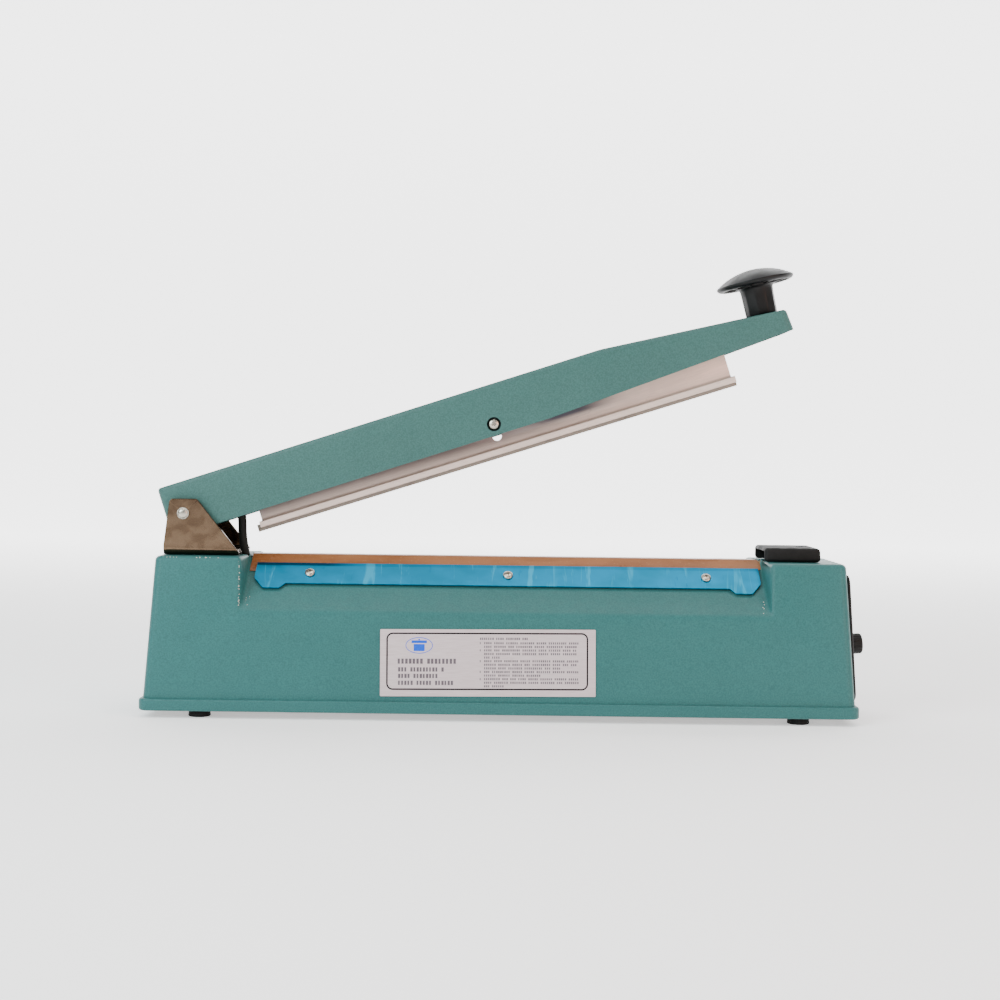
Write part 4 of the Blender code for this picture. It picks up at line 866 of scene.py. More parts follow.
def dust(seed, count, spot, size, name, finish, body):
    """Small irregular chips strewn by the function spot(random) -> (point, normal)."""
    chance = random.Random(seed)
    shape = bmesh.new()
    for _ in range(count):
        point, normal = spot(chance)
        normal = Vector(normal).normalized()
        side = normal.orthogonal().normalized()
        other = normal.cross(side)
        reach = size * chance.uniform(0.4, 1.0)
        corners = []
        sides = chance.randint(5, 8)
        start = chance.uniform(0, 6.28)
        for k in range(sides):
            angle = start + 2 * math.pi * k / sides
            radius = reach * chance.uniform(0.55, 1.0)
            corners.append(Vector(point) + side * math.cos(angle) * radius + other * math.sin(angle) * radius)
        top = [shape.verts.new(corner + normal * 0.05) for corner in corners]
        low = [shape.verts.new(corner - normal * 0.15) for corner in corners]
        shape.faces.new(top)
        shape.faces.new(list(reversed(low)))
        for k in range(sides):
            after = (k + 1) % sides
            shape.faces.new((top[k], low[k], low[after], top[after]))
    item = add_mesh(name, shape)
    return settle(item, body, finish, "base_paint", smooth_angle=0)


def make_wear():
    """Paint chipped off along the left block's front corner and on a few edges."""
    left = RECESS_FRONT[0] - 2.6 * (1 - math.sqrt(0.5))
    def corner(chance):
        z = RECESS_FLOOR + 3 + (BLOCK_TOP - RECESS_FLOOR - 6) * chance.random()
        return (left - chance.uniform(-0.2, 0.5), -wall_y(z) + 0.75 - 0.16, z), (0.7, -0.7, 0)
    dust(11, 26, corner, 0.55, "corner_chips", CHIP, "base")
    def arris(chance):
        x = chance.uniform(BASE_LOW.x + 14, RECESS_FRONT[0] - 5)
        return (x, -wall_y(BLOCK_TOP) + 0.72, BLOCK_TOP - 0.70), (0, -0.7, 0.7)
    dust(12, 14, arris, 0.45, "arris_chips", CHIP, "base")
    def folds(chance):
        x = chance.choice((RECESS_FRONT[0] + 3.2, RECESS_FRONT[1] - 3.0)) + chance.uniform(-1.6, 1.6)
        z = chance.uniform(66, 74)
        return (x, -slope_y(z) - 0.02, z), (0, -0.7, 0.7)
    dust(13, 16, folds, 0.42, "fold_flecks", CHIP, "base")


# ---------------------------------------------------------------- screws, feet, bottom plate

def cross_screw(name, matrix, head_radius, head_high, shank_radius, length, body, slot, *nodes, finish=None):
    """Pan-head screw with a cross recess, its head standing on z = 0 and its shank below."""
    steps = 8
    rim = 0.36 * head_high
    profile = [(0.0, head_high)]
    for step in range(1, steps + 1):
        angle = step / steps * math.pi / 2
        profile.append((head_radius * math.sin(angle), rim + (head_high - rim) * math.cos(angle)))
    profile += [(head_radius, 0.05), (head_radius - 0.08, 0.0), (shank_radius, 0.0)]
    pitch, turns = 1.25, int((length - 1.0) / 1.25)
    for turn in range(turns):
        low = -0.4 - turn * pitch
        profile += [(shank_radius, low), (shank_radius * 0.80, low - 0.5 * pitch)]
    profile += [(shank_radius * 0.8, -length + 0.6), (0.0, -length)]
    screw = lathe(name, profile, 40)
    arm, deep = 0.52 * head_radius, 0.62 * head_high
    for turn in (0.0, math.pi / 2):
        blade = box("cross", (-arm, arm), (-0.17 * head_radius, 0.17 * head_radius),
                    (head_high - deep, head_high + 1))
        for vertex in blade.data.vertices:
            if vertex.co.z < head_high * MM:
                vertex.co.x *= 0.62
                vertex.co.y *= 0.7
        blade.rotation_euler.z = turn + 0.35
        bpy.context.view_layer.update()
        cut(screw, blade)
    screw.matrix_world = matrix
    return settle(screw, body, finish or PLATED, slot, *nodes, smooth_angle=30)


def upright(x, y, z, turn=(0.0, 0.0, 0.0)):
    return Matrix.Translation(Vector((x, y, z)) * MM) @ Euler(turn).to_matrix().to_4x4()


def make_feet():
    """Moulded rubber feet with a recessed screw, and the sheet bottom plate that they stand under."""
    plate_low, plate_high = cad_box("bottom_plate")
    plate = box("bottom_sheet", (plate_low.x, plate_high.x), (plate_low.y, plate_high.y),
                (plate_low.z, plate_high.z))
    for name in ("front_left", "front_right", "rear_left", "rear_right"):
        low, high = cad_box(f"foot_{name}")
        x, y = 0.5 * (low.x + high.x), 0.5 * (low.y + high.y)
        cut(plate, cylinder("foot_way", (x, y, plate_low.z), 1.9, 10))
        radius, top = 0.5 * (high.x - low.x), high.z
        profile = [(1.9, top), (radius - 1.1, top), (radius - 0.9, top - 0.1), (radius - 0.5, 1.2),
                   (radius - 0.45, 0.9), (radius - 0.5, 0.45), (radius - 0.7, 0.15), (radius - 1.05, 0.0),
                   (4.7, 0.0), (4.45, 0.1), (4.4, 0.3), (4.4, 2.0), (4.3, 2.2), (1.9, 2.2)]
        profile[1:8] = [(r + 0.45, z) for r, z in profile[1:8]]
        foot = lathe(f"rubber_foot_{name}", profile, 56, upright(x, y, 0))
        settle(foot, "base", RUBBER, "black_rubber", f"foot_{name}", smooth_angle=40)
        cross_screw(f"foot_fixing_{name}", upright(x, y, 2.2 - GAP, (math.pi, 0, 0)), 3.6, 1.4, 1.6, 7.0, "base",
                    "fastener", f"foot_screw_{name}")
    for x in (-130, -90, -50, 0, 96, 132):
        for y in (-12, 0, 12):
            vent = [(x - 9, y - 1.5), (x + 9, y - 1.5), (x + 9, y + 1.5), (x - 9, y + 1.5)]
            slot = prism("vent", fillet(vent, 1.45, 4), "XY", (plate_low.z - 2, plate_high.z + 2))
            cut(plate, slot)
    bevel(plate, 0.25, 2, 50.0)
    settle(plate, "base", STEEL, "fastener", "bottom_plate", smooth_angle=30)


# ---------------------------------------------------------------- sealing bed

def make_tape():
    """PTFE-glass tape stretched over the element and down both slopes, its ends cut by hand."""
    thick, shelf, hem = 0.13, 4.8, 87.6
    top = TAPE_HIGH.z - 0.02
    across, columns = 18, 150
    flat = shelf + (top - hem) * math.sqrt(2)
    shape = bmesh.new()
    rows = []
    for column in range(columns + 1):
        share = column / columns
        row = []
        for step in range(-across, across + 1):
            reach = flat * step / across
            side, run = math.copysign(1, reach), abs(reach)
            slide = run - shelf
            left_end = TAPE_LOW.x - 0.9 * max(0.0, slide) / (flat - shelf)
            right_end = TAPE_HIGH.x + 2.4 + 0.55 * min(slide, 7.0) - 2.2 * max(0.0, slide - 7.0)
            x = left_end + share * (right_end - left_end)
            if slide < 0:
                spot, normal = Vector((x, reach, top - 0.12 * (run / shelf) ** 4)), Vector((0, 0, 1))
            else:
                fall = slide / math.sqrt(2)
                spot = Vector((x, side * (shelf + fall), top - 0.12 - fall))
                normal = Vector((0, side, 1)).normalized()
            ripple = 0.10 * noise.noise(Vector((x * 0.045, run * 0.10, side * 3.1)))
            fine = 0.05 * noise.noise(Vector((x * 0.22, run * 0.16, side * 7.7)))
            row.append(shape.verts.new(spot - normal * (abs(ripple) + abs(fine)) * min(1.0, run / shelf)))
        rows.append(row)
    for first, second in zip(rows, rows[1:]):
        for index in range(2 * across):
            shape.faces.new((first[index], second[index], second[index + 1], first[index + 1]))
    bmesh.ops.recalc_face_normals(shape, faces=shape.faces)
    tape = add_mesh("tape_sheet", shape)
    step = tape.modifiers.new("thickness", "SOLIDIFY")
    step.thickness = thick * MM
    step.offset = -1.0
    apply_modifiers(tape)
    settle(tape, "base", TAPE, "ptfe_tape", "ptfe_tape", smooth_angle=50)


def plate_outline(left, right):
    """Clamp plate's outline in its own plane, with a tab at each end of the toe."""
    root = math.sqrt(2)
    toe, tab = -(PLATE_TOP_Z - PLATE_TOE_Z) * root, -(PLATE_TOP_Z - PLATE_TAB_Z) * root
    step = toe - tab
    points = [(left, 0.0), (left - 0.6, toe * 0.75), (left + 5, tab), (left + 15, tab), (left + 15 + step, toe),
              (right - 15 - step, toe), (right - 15, tab), (right - 5, tab), (right + 0.6, toe * 0.75),
              (right, 0.0)]
    return fillet(points, 2.0, 5, (1, 2, 7, 8))


def make_plates():
    """Clamp plates: the front one under creased protective film, the rear one bare zinc."""
    for side, name, finish in ((-1, "front_clamp_plate", FILM), (1, "rear_clamp_plate", ZINC)):
        low, high = cad_box(name)
        edge = 0.6
        plate = prism(name + "_sheet", plate_outline(low.x + edge, high.x - edge), "XY", (0.0, 0.9))
        plate.matrix_world = plate_matrix(side)
        for x in CLAMP_SCREW_X:
            hole = cylinder("screw_way", (0, 0, 0), 1.7, 12)
            hole.matrix_world = plate_matrix(side) @ Matrix.Translation(Vector((x, CLAMP_DOWN, 0)) * MM)
            bpy.context.view_layer.update()
            cut(plate, hole)
        if side < 0:
            crease_film(plate)
        else:
            bevel(plate, 0.18, 2, 50)
            hold_faces(plate, 0.4)
        settle(plate, "base", finish, "film_plate" if side < 0 else "zinc_sheet", name, smooth_angle=28)
        label = "front" if side < 0 else "rear"
        for number, x in enumerate(CLAMP_SCREW_X, 1):
            seat = plate_matrix(side) @ Matrix.Translation(Vector((x, CLAMP_DOWN, 1.0 + 0.05)) * MM)
            cross_screw(f"clamp_fixing_{label}_{number}", seat, 3.0, 1.9, 1.3, 9.0, "base", "fastener",
                        f"clamp_screw_{label}_{number}")


def crease_film(plate):
    """Grid the plate's face and press low creases and bubbles into it, inside its thickness."""
    shape = bmesh.new()
    shape.from_mesh(plate.data)
    low, high = (min(v.co.x for v in shape.verts), max(v.co.x for v in shape.verts))
    for index in range(1, 120):
        x = low + (high - low) * index / 120
        geometry = shape.verts[:] + shape.edges[:] + shape.faces[:]
        bmesh.ops.bisect_plane(shape, geom=geometry, plane_co=(x, 0, 0), plane_no=(1, 0, 0))
    y_low = min(v.co.y for v in shape.verts)
    for index in range(1, 14):
        geometry = shape.verts[:] + shape.edges[:] + shape.faces[:]
        bmesh.ops.bisect_plane(shape, geom=geometry, plane_co=(0, y_low * index / 14, 0), plane_no=(0, 1, 0))
    for vertex in shape.verts:
        if vertex.co.z > 0.5 * MM:
            x, y = vertex.co.x / MM, vertex.co.y / MM
            fold = abs(noise.noise(Vector((x * 0.10 + y * 0.14, y * 0.05, 2.0))))
            bubble = noise.noise(Vector((x * 0.33, y * 0.40, 9.0)))
            drop = 0.07 * max(0.0, 0.25 - fold) / 0.25 + 0.05 * max(0.0, bubble)
            vertex.co.z -= min(0.34, drop) * MM
    shape.to_mesh(plate.data)
    shape.free()


def make_cover():
    """Black terminal cover, open towards the bed, with rounded cheeks and a countersunk screw."""
    low, high = COVER_LOW, COVER_HIGH
    cover = box("cover_shell", (low.x, high.x), (low.y, high.y), (low.z, high.z))
    for vertex in cover.data.vertices:
        if vertex.co.z > 0.1015 and vertex.co.x > 0.18:
            vertex.co.x -= 0.5 * MM
    bevel(cover, 2.2, 6, 50)
    inner = box("hollow", (low.x - 8, high.x - 14.4), (low.y + 2.2, high.y - 2.2), (low.z - 3, high.z - 2.0))
    bevel(inner, 1.5, 4, 50)
    screw_low, screw_high = cad_box("cover_screw")
    x = 0.5 * (screw_low.x + screw_high.x)
    cut(cover, inner, cylinder("counterbore", (x, 0, high.z), 3.6, 5.0), cylinder("way", (x, 0, low.z), 1.9, 30))
    bevel(cover, 0.35, 2, 60)
    settle(cover, "base", COVER, "black_plastic", "terminal_cover", smooth_angle=38)
    cross_screw("cover_fixing", upright(x, 0, high.z - 2.5 + GAP), 3.0, 1.6, 1.5, 12.0, "base", "fastener",
                "cover_screw")


def make_terminals():
    """Brass clamps at the element's ends, each with a hole for a small screw, and the element, the bed strip and
    the tension coil.
    """
    for name, body in (("left_terminal", "base"), ("right_terminal", "right_terminal")):
        low, high = cad_box(name)
        block = box(name + "_block", (low.x, high.x), (low.y, high.y), (low.z, high.z))
        x = 0.5 * (low.x + high.x)
        cut(block, cylinder("screw_way", (x, low.y, 0.5 * (low.z + high.z)), 0.9, 3, "Y", 24))
        bevel(block, 0.35, 3, 50)
        settle(block, body, BRASS, "brass", name, smooth_angle=35)
    carry("heating_element", NICHROME)
    low, high = cad_box("seal_bed_strip")
    strip = box("bed_strip", (low.x, high.x), (low.y, high.y), (low.z, high.z))
    bevel(strip, 0.4, 3, 50)
    settle(strip, "base", SILICONE, "silicone", "seal_bed_strip")
    low, high = cad_box("terminal_spring")
    radius, wire = 0.5 * (high.y - low.y) - 0.35, 0.35
    centre_z = 0.5 * (low.z + high.z)
    turns, per_turn = 5, 28
    points = []
    for step in range(turns * per_turn + 1):
        angle = 2 * math.pi * step / per_turn
        points.append((low.x + wire + (high.x - low.x - 2 * wire) * step / (turns * per_turn),
                       radius * math.cos(angle), centre_z + radius * math.sin(angle)))
    coil = sweep_tube("tension_coil", points, wire, 8)
    settle(coil, "base", SPRING, "spring_steel", "terminal_spring", smooth_angle=60)
    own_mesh(coil)


def carry(node, finish):
    """Show a CAD node with a finish of its own and a fine bevel."""
    item = frame["nodes"][node]
    item.data.materials.clear()
    item.data.materials.append(finish)
    step = item.modifiers.new("edge", "BEVEL")
    step.width = 0.15 * MM
    step.segments = 2
    step.limit_method = "ANGLE"
    step.angle_limit = math.radians(50)


# ---------------------------------------------------------------- hinge

def make_bracket():
    """U-shaped bracket of bright bent sheet: two ears with slanted front edges, a stop tab and a cable notch."""
    low, high = BRACKET_LOW, BRACKET_HIGH
    half, sheet, ear_top = high.y, 2.0, high.z
    right = high.x - 0.5
    wide = [(half, ear_top + 5), (-half, ear_top + 5), (-half, low.z), (half, low.z)]
    thin = [(half - sheet, ear_top + 8), (sheet - half, ear_top + 8), (sheet - half, low.z + sheet),
            (half - sheet, low.z + sheet)]
    bracket = prism("bracket_sheet", fillet(wide, 4.0, 8, (2, 3)), "YZ", (low.x, high.x))
    cut(bracket, prism("channel", fillet(thin, 2.2, 8, (2, 3)), "YZ", (low.x - 5, high.x + 5)))
    side = [(low.x - 0.2, low.z - 2), (right + 1, low.z - 2), (right + 1, low.z + 1.6), (-189.8, ear_top),
            (-206.4, ear_top), (low.x - 0.2, low.z + 4)]
    cut(bracket, prism("side", fillet(side, 3.0, 8, (3, 4)), "XZ", (-30, 30)), operation="INTERSECT")
    cut(bracket, cylinder("pin_way", PIVOT, 3.15, 60, "Y"),
        box("cable_notch", (-170.5, high.x + 2), (-8, 8), (low.z - 2, low.z + 6)))
    tab = box("stop_tab", (-206.8, -204.8), (-14, 14), (low.z + 1, 106.6))
    join(bracket, tab)
    for number in (1, 2):
        screw_low, screw_high = cad_box(f"bracket_screw_{number}")
        x = 0.5 * (screw_low.x + screw_high.x)
        cut(bracket, cylinder("screw_way", (x, 0, low.z), 2.3, 12))
        cross_screw(f"bracket_fixing_{number}", upright(x, 0, low.z + sheet + GAP), 3.9, 2.2, 2.0, 11.0, "base",
                    "fastener", f"bracket_screw_{number}")
    bevel(bracket, 0.45, 3, 50)
    hold_faces(bracket, 0.35)
    settle(bracket, "base", ZINC, "zinc_sheet", "hinge_bracket", smooth_angle=25)


def make_pin():
    """Hinge pin, its ends riveted over a small washer."""
    low, high = cad_box("hinge_pin")
    half = 0.5 * (high.y - low.y)
    ear = BRACKET_HIGH.y
    profile = [(0.0, half), (1.2, half - 0.03), (2.0, half - 0.18), (2.6, half - 0.45), (2.9, half - 0.8),
               (3.6, ear + 0.62), (3.6, ear + 0.1), (3.5, ear + 0.02), (3.0, ear + 0.02)]
    profile += [(r, -z) for r, z in reversed(profile)]
    pin = lathe("hinge_rivet", profile, 56, Matrix.Translation(PIVOT * MM) @ Matrix.Rotation(-math.pi / 2, 4, "X"))
    settle(pin, "base", PLATED, "fastener", "hinge_pin", smooth_angle=40)


def make_return_spring():
    """Torsion spring around the sleeve, from the bracket's floor to the arm's roof."""
    radius, turns, per_turn = 6.2, 4, 36
    points = [Vector((PIVOT.x + 13.0, -9.2, BRACKET_LOW.z + 3.5)), Vector((PIVOT.x + 5.6, -9.2, PIVOT.z - 9.9))]
    total = turns * per_turn + 3 * per_turn // 8
    for step in range(total + 1):
        angle = 2 * math.pi * step / per_turn
        points.append(Vector((PIVOT.x + radius * math.cos(angle), -9.2 + 18.4 * step / total,
                              PIVOT.z + radius * math.sin(angle))))
    points += [in_arm(8.0, 9.2, 10.5), in_arm(22.0, 9.2, 15.0)]
    coil = sweep_tube("torsion_coil", points, 0.9, 12)
    settle(coil, "base", SPRING, "spring_steel", smooth_angle=60)
    return coil


# ---------------------------------------------------------------- arm

def soften_arm(arm):
    """Round the arm's top and end edges; the rims of the open underside stay nearly sharp."""
    weights = arm.data.attributes.new("bevel_weight_edge", "FLOAT", "EDGE")
    for edge in arm.data.edges:
        a, b = (arm.data.vertices[index].co / MM for index in edge.vertices)
        upright_end = abs(a.x - b.x) < 3 and abs(a.z - b.z) > 5
        on_top = min(a.z, b.z) > 8
        weights.data[edge.index].value = 1.0 if upright_end else 0.5 if on_top else 0.0
    bevel(arm, 4.4, 6, weighted=True)


def make_arm():
    """Painted arm: an open channel with rounded outer edges, a knee on top and a closed tip."""
    arm = prism("arm_channel", list(ARM_OUTLINE), "XZ", (-ARM_HALF, ARM_HALF), ARM_MATRIX)
    soften_arm(arm)
    inner = ARM_HALF - ARM_WALL
    roof = [(ARM_REAR + ARM_WALL, -20), (ARM_TIP - ARM_WALL, -20), (ARM_TIP - ARM_WALL, 11.2 - ARM_WALL),
            (ARM_KNEE, 21.0 - ARM_WALL), (ARM_REAR + ARM_WALL, 19.0 - ARM_WALL)]
    hollow = prism("arm_hollow", roof, "XZ", (-inner, inner), ARM_MATRIX)
    cut(arm, hollow,
        cylinder("pin_way", (0, 0, 0), 3.25, 60, "Y", 40, ARM_MATRIX),
        cylinder("bolt_way", (BOLT_U, 0, BOLT_W), 4.3, 60, "Y", 48, ARM_MATRIX),
        cylinder("handle_way", (HANDLE_U, 0, arm_top(HANDLE_U)), 3.4, 14, "Z", 40, ARM_MATRIX))
    settle(arm, "arm", ARM_PAINT, "arm_paint", "arm_casing", smooth_angle=30)


def bar_section():
    """Section of the press bar: a channel web on a flange with lipped edges and a groove for the strip."""
    half, web, top = 9.0, 6.0, 3.0
    right = [(4.3, -22.3), (8.6, -22.3), (half, -21.9), (half, -18.9), (8.7, -18.5), (7.4, -18.35),
             (web + 0.7, -18.1), (web + 0.25, -17.6), (web, -16.9), (web, top - 0.2), (web - 0.2, top),
             (web - 1.4, top), (web - 1.6, top - 0.2), (web - 1.6, -18.4)]
    groove = [(4.3, -19.7)]
    points = groove + right
    return points + [(-y, z) for y, z in reversed(points)]


def make_bar():
    """Aluminium press bar, its web trimmed short of the flange and slotted for the bolt."""
    low_u, high_u, web = 40.4, 347.3, (42.0, 345.2)
    bar = prism("bar_extrusion", bar_section(), "YZ", (low_u, high_u), ARM_MATRIX)
    reach, slot_low, slot_high = 2.9, -13.8, BOLT_W + 2.9
    slot = []
    for step in range(17):
        angle = math.pi * step / 16
        slot.append((BOLT_U - 0.3 + reach * math.cos(angle), slot_high - reach + reach * math.sin(angle)))
    for step in range(17):
        angle = math.pi + math.pi * step / 16
        slot.append((BOLT_U - 0.3 + reach * math.cos(angle), slot_low + reach + reach * math.sin(angle)))
    cut(bar, box("trim", (low_u - 5, web[0]), (-9, 9), (-18.4, 5), ARM_MATRIX),
        box("trim", (web[1], high_u + 5), (-9, 9), (-18.4, 5), ARM_MATRIX),
        prism("slot", slot, "XZ", (-20, 20), ARM_MATRIX))
    bevel(bar, 0.12, 2, 60)
    settle(bar, "press_bar", ALUMINIUM, "bar_aluminium", "press_bar", smooth_angle=24)
    half, low, top = 4.0, -24.4, -19.7 - GAP
    section = [(-half, top), (-half, low + 0.5)]
    for ridge in range(8):
        y = -half + 0.5 + ridge
        section += [(y - 0.25, low), (y + 0.25, low), (y + 0.5, low + 0.3)]
    section += [(half, low + 0.5), (half, top)]
    strip = prism("silicone_ridges", list(reversed(section)), "YZ", (low_u - 2.6, high_u + 0.3), ARM_MATRIX)
    settle(strip, "press_bar", SILICONE, "silicone", "silicone_strip", smooth_angle=35)


def make_bolt():
    """Bolt across the arm, its bush and nut, and the two springs that push the bar down."""
    inner = ARM_HALF - ARM_WALL - GAP
    seat = ARM_MATRIX @ upright(BOLT_U, -inner - GAP, BOLT_W, (math.pi / 2, 0, 0))
    cross_screw("bar_fixing", seat, 3.2, 2.0, 1.9, 2 * inner + 4.4, "arm", "fastener", "bar_bolt")
    profile = [(6.0, inner), (6.0, inner - 1.2), (3.0, inner - 1.2), (3.0, 1.2 - inner), (6.0, 1.2 - inner),
               (6.0, -inner), (2.2, -inner), (2.2, inner)]
    turn = Matrix.Rotation(-math.pi / 2, 4, "X")
    bush = lathe("bar_guide", profile, 48, ARM_MATRIX @ upright(BOLT_U, 0, BOLT_W) @ turn)
    settle(bush, "arm", DARK_STEEL, "fastener", "bar_bush", smooth_angle=40)
    nut = cylinder("hex_nut", (BOLT_U, inner + GAP + 1.3, BOLT_W), 3.9, 2.6, "Y", 6, ARM_MATRIX)
    cut(nut, cylinder("way", (BOLT_U, inner, BOLT_W), 2.2, 12, "Y", 32, ARM_MATRIX))
    bevel(nut, 0.3, 3, 50)
    settle(nut, "arm", PLATED, "fastener", "bar_nut")
    for number, u in enumerate((118.0, 275.0), 1):
        low, high = -18.4 + GAP + 0.7, arm_top(u) - ARM_WALL - GAP - 0.8
        points = []
        turns, per_turn = 5, 30
        for step in range(turns * per_turn + 1):
            angle = 2 * math.pi * step / per_turn
            points.append((u + 3.1 * math.cos(angle), 3.1 * math.sin(angle),
                           low + (high - low) * step / (turns * per_turn)))
        coil = sweep_tube(f"push_coil_{number}", points, 0.6, 10, ARM_MATRIX)
        settle(coil, "arm", SPRING, "spring_steel", f"bar_spring_{number}", smooth_angle=60)
        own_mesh(coil)


def make_handle():
    """Mushroom handle: a domed cap with ribbed pockets under its lip, on a faceted neck."""
    radius, rim, dome, neck = 24.0, 21.2, 7.8, 10.0
    ball = (radius ** 2 + dome ** 2) / (2 * dome)
    matrix = ARM_MATRIX @ upright(HANDLE_U, 0, arm_top(HANDLE_U) + GAP, (0, TIP_SLOPE, 0))
    profile = []
    for step in range(25):
        r = (radius - 0.15) * math.sin(step / 24 * math.pi / 2)
        profile.append((r, rim + math.sqrt(ball ** 2 - r ** 2) - ball + dome))
    profile += [(radius, rim - 0.4), (radius - 0.1, rim - 0.9), (radius - 0.5, rim - 1.6),
                (radius - 1.3, rim - 2.2), (radius - 2.6, rim - 2.6), (18.0, rim - 2.9), (13.0, rim - 3.1),
                (11.4, rim - 3.3), (10.7, rim - 3.8), (neck + 0.25, rim - 4.8), (neck + 0.1, 12.0),
                (neck - 0.15, 1.0), (neck - 0.4, 0.3), (neck - 0.8, 0.0), (2.8, 0.0), (2.8, 16.0), (0.0, 16.0)]

    def facets(angle, r, height):
        return r * (1 - 0.045 * abs(math.sin(5 * angle))) if height < rim - 5 and r > 5 else r

    knob = lathe("mushroom_handle", profile, 160, matrix, facets)
    pockets = []
    for index in range(10):
        near, far, half = 12.8, 20.4, math.radians(15.0)
        turn = 2 * math.pi * (index + 0.5) / 10
        steps = [turn - half + 2 * half * k / 6 for k in range(7)]
        arc = [(far * math.cos(t), far * math.sin(t)) for t in steps]
        arc += [(near * math.cos(t), near * math.sin(t)) for t in reversed(steps)]
        pockets.append(prism("pocket", arc, "XY", (10.0, rim - 0.4), matrix))
    cut(knob, *pockets)
    bevel(knob, 0.15, 2, 50)
    bake_place(knob)
    settle(knob, "arm", HANDLE, "handle_plastic", "handle_knob", smooth_angle=34)
    seat = -(ARM_WALL * math.cos(TIP_SLOPE) + 2 * GAP)
    cross_screw("handle_fixing", matrix @ upright(0, 0, seat, (math.pi, 0, 0)), 4.4, 2.4, 2.3, 16.0, "arm",
                "fastener", "handle_screw")


def make_cable():
    """Switch cable, from inside the base through the bracket's notch into the arm."""
    route = [(CABLE_HOLE.x, CABLE_HOLE.y, 84.0), (CABLE_HOLE.x, CABLE_HOLE.y, 93.0), (-163.8, -3.0, 101.0),
             (-164.9, -3.3, 109.0), (-165.2, -3.4, 117.0)]
    route += [in_arm(33.0, -3.2, -2.0), in_arm(38.5, -2.2, 8.6), in_arm(52.0, -3.0, 11.0),
              in_arm(60.0, -3.0, 11.4)]
    cable = sweep_tube("switch_lead", smooth_line(route, 12), CABLE_RADIUS, 20)
    cable.data.materials.append(CABLE)
    smooth(cable, 60)
    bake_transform(cable)
    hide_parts("switch_cable")
    coil = make_return_spring()
    coil.parent = None
    del coil["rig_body"]
    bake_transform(coil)
    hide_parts("return_spring")


# ---------------------------------------------------------------- controls

def wall_x(z):
    """Outer face of the right end wall at height z."""
    return BASE_HIGH.x - FLANGE_STEP - (z - WALL_FOOT) * math.tan(END_DRAFT)


PANEL_MATRIX = upright(wall_x(PANEL_MID) + GAP, 0, PANEL_MID, (0, -END_DRAFT, 0))


def make_panel():
    """Moulded control panel with its screws and a printed time scale, and holes for the knob's shaft and the lamp.
    """
    corners = [(-PANEL_HALF_Y, -PANEL_HALF_Z), (PANEL_HALF_Y, -PANEL_HALF_Z), (PANEL_HALF_Y, PANEL_HALF_Z),
               (-PANEL_HALF_Y, PANEL_HALF_Z)]
    panel = prism("panel_moulding", fillet(corners, 6.0, 10), "YZ", (0.0, PANEL_THICK), PANEL_MATRIX)
    bevel(panel, 1.4, 5, 60)
    cut(panel, cylinder("shaft_way", (0, 0, KNOB_RISE), 3.9, 20, "X", 40, PANEL_MATRIX),
        cylinder("lamp_way", (0, 0, LAMP_RISE), 4.3, 20, "X", 40, PANEL_MATRIX))
    for number, z in enumerate((PANEL_HALF_Z - 5.5, 5.5 - PANEL_HALF_Z), 1):
        cut(panel, cylinder("screw_way", (0, 0, z), 1.7, 30, "X", 32, PANEL_MATRIX))
        seat = PANEL_MATRIX @ upright(PANEL_THICK + 0.05, 0, z, (0, math.pi / 2, 0))
        cross_screw(f"panel_fixing_{number}", seat, 2.8, 1.8, 1.4, 10.0, "base", "fastener",
                    f"panel_screw_{number}")
    settle(panel, "base", BLACK, "black_plastic", "control_panel", smooth_angle=35)
    marks = []
    for tick in range(9):
        angle = math.radians(-135 + 270 * tick / 8)
        long = 2.6 if tick % 2 == 0 else 1.6
        mark = box("tick", (0, 0.08), (-0.25, 0.25), (9.2, 9.2 + long))
        mark.matrix_world = (PANEL_MATRIX @ upright(PANEL_THICK, 0, KNOB_RISE)
                             @ Matrix.Rotation(angle, 4, "X"))
        marks.append(mark)
    for side, size in ((-1, 1.0), (1, 2.0)):
        dot = cylinder("dot", (0.04, side * 13.5, KNOB_RISE - 9.0), size * 0.7, 0.08, "X", 32)
        dot.matrix_world = PANEL_MATRIX @ upright(PANEL_THICK, 0, 0)
        marks.append(dot)
    bpy.context.view_layer.update()
    for mark in marks:
        mark.data.materials.append(INK_WHITE)
    settle(merge("panel_scale", marks), "base", None, "label_foil", smooth_angle=0)


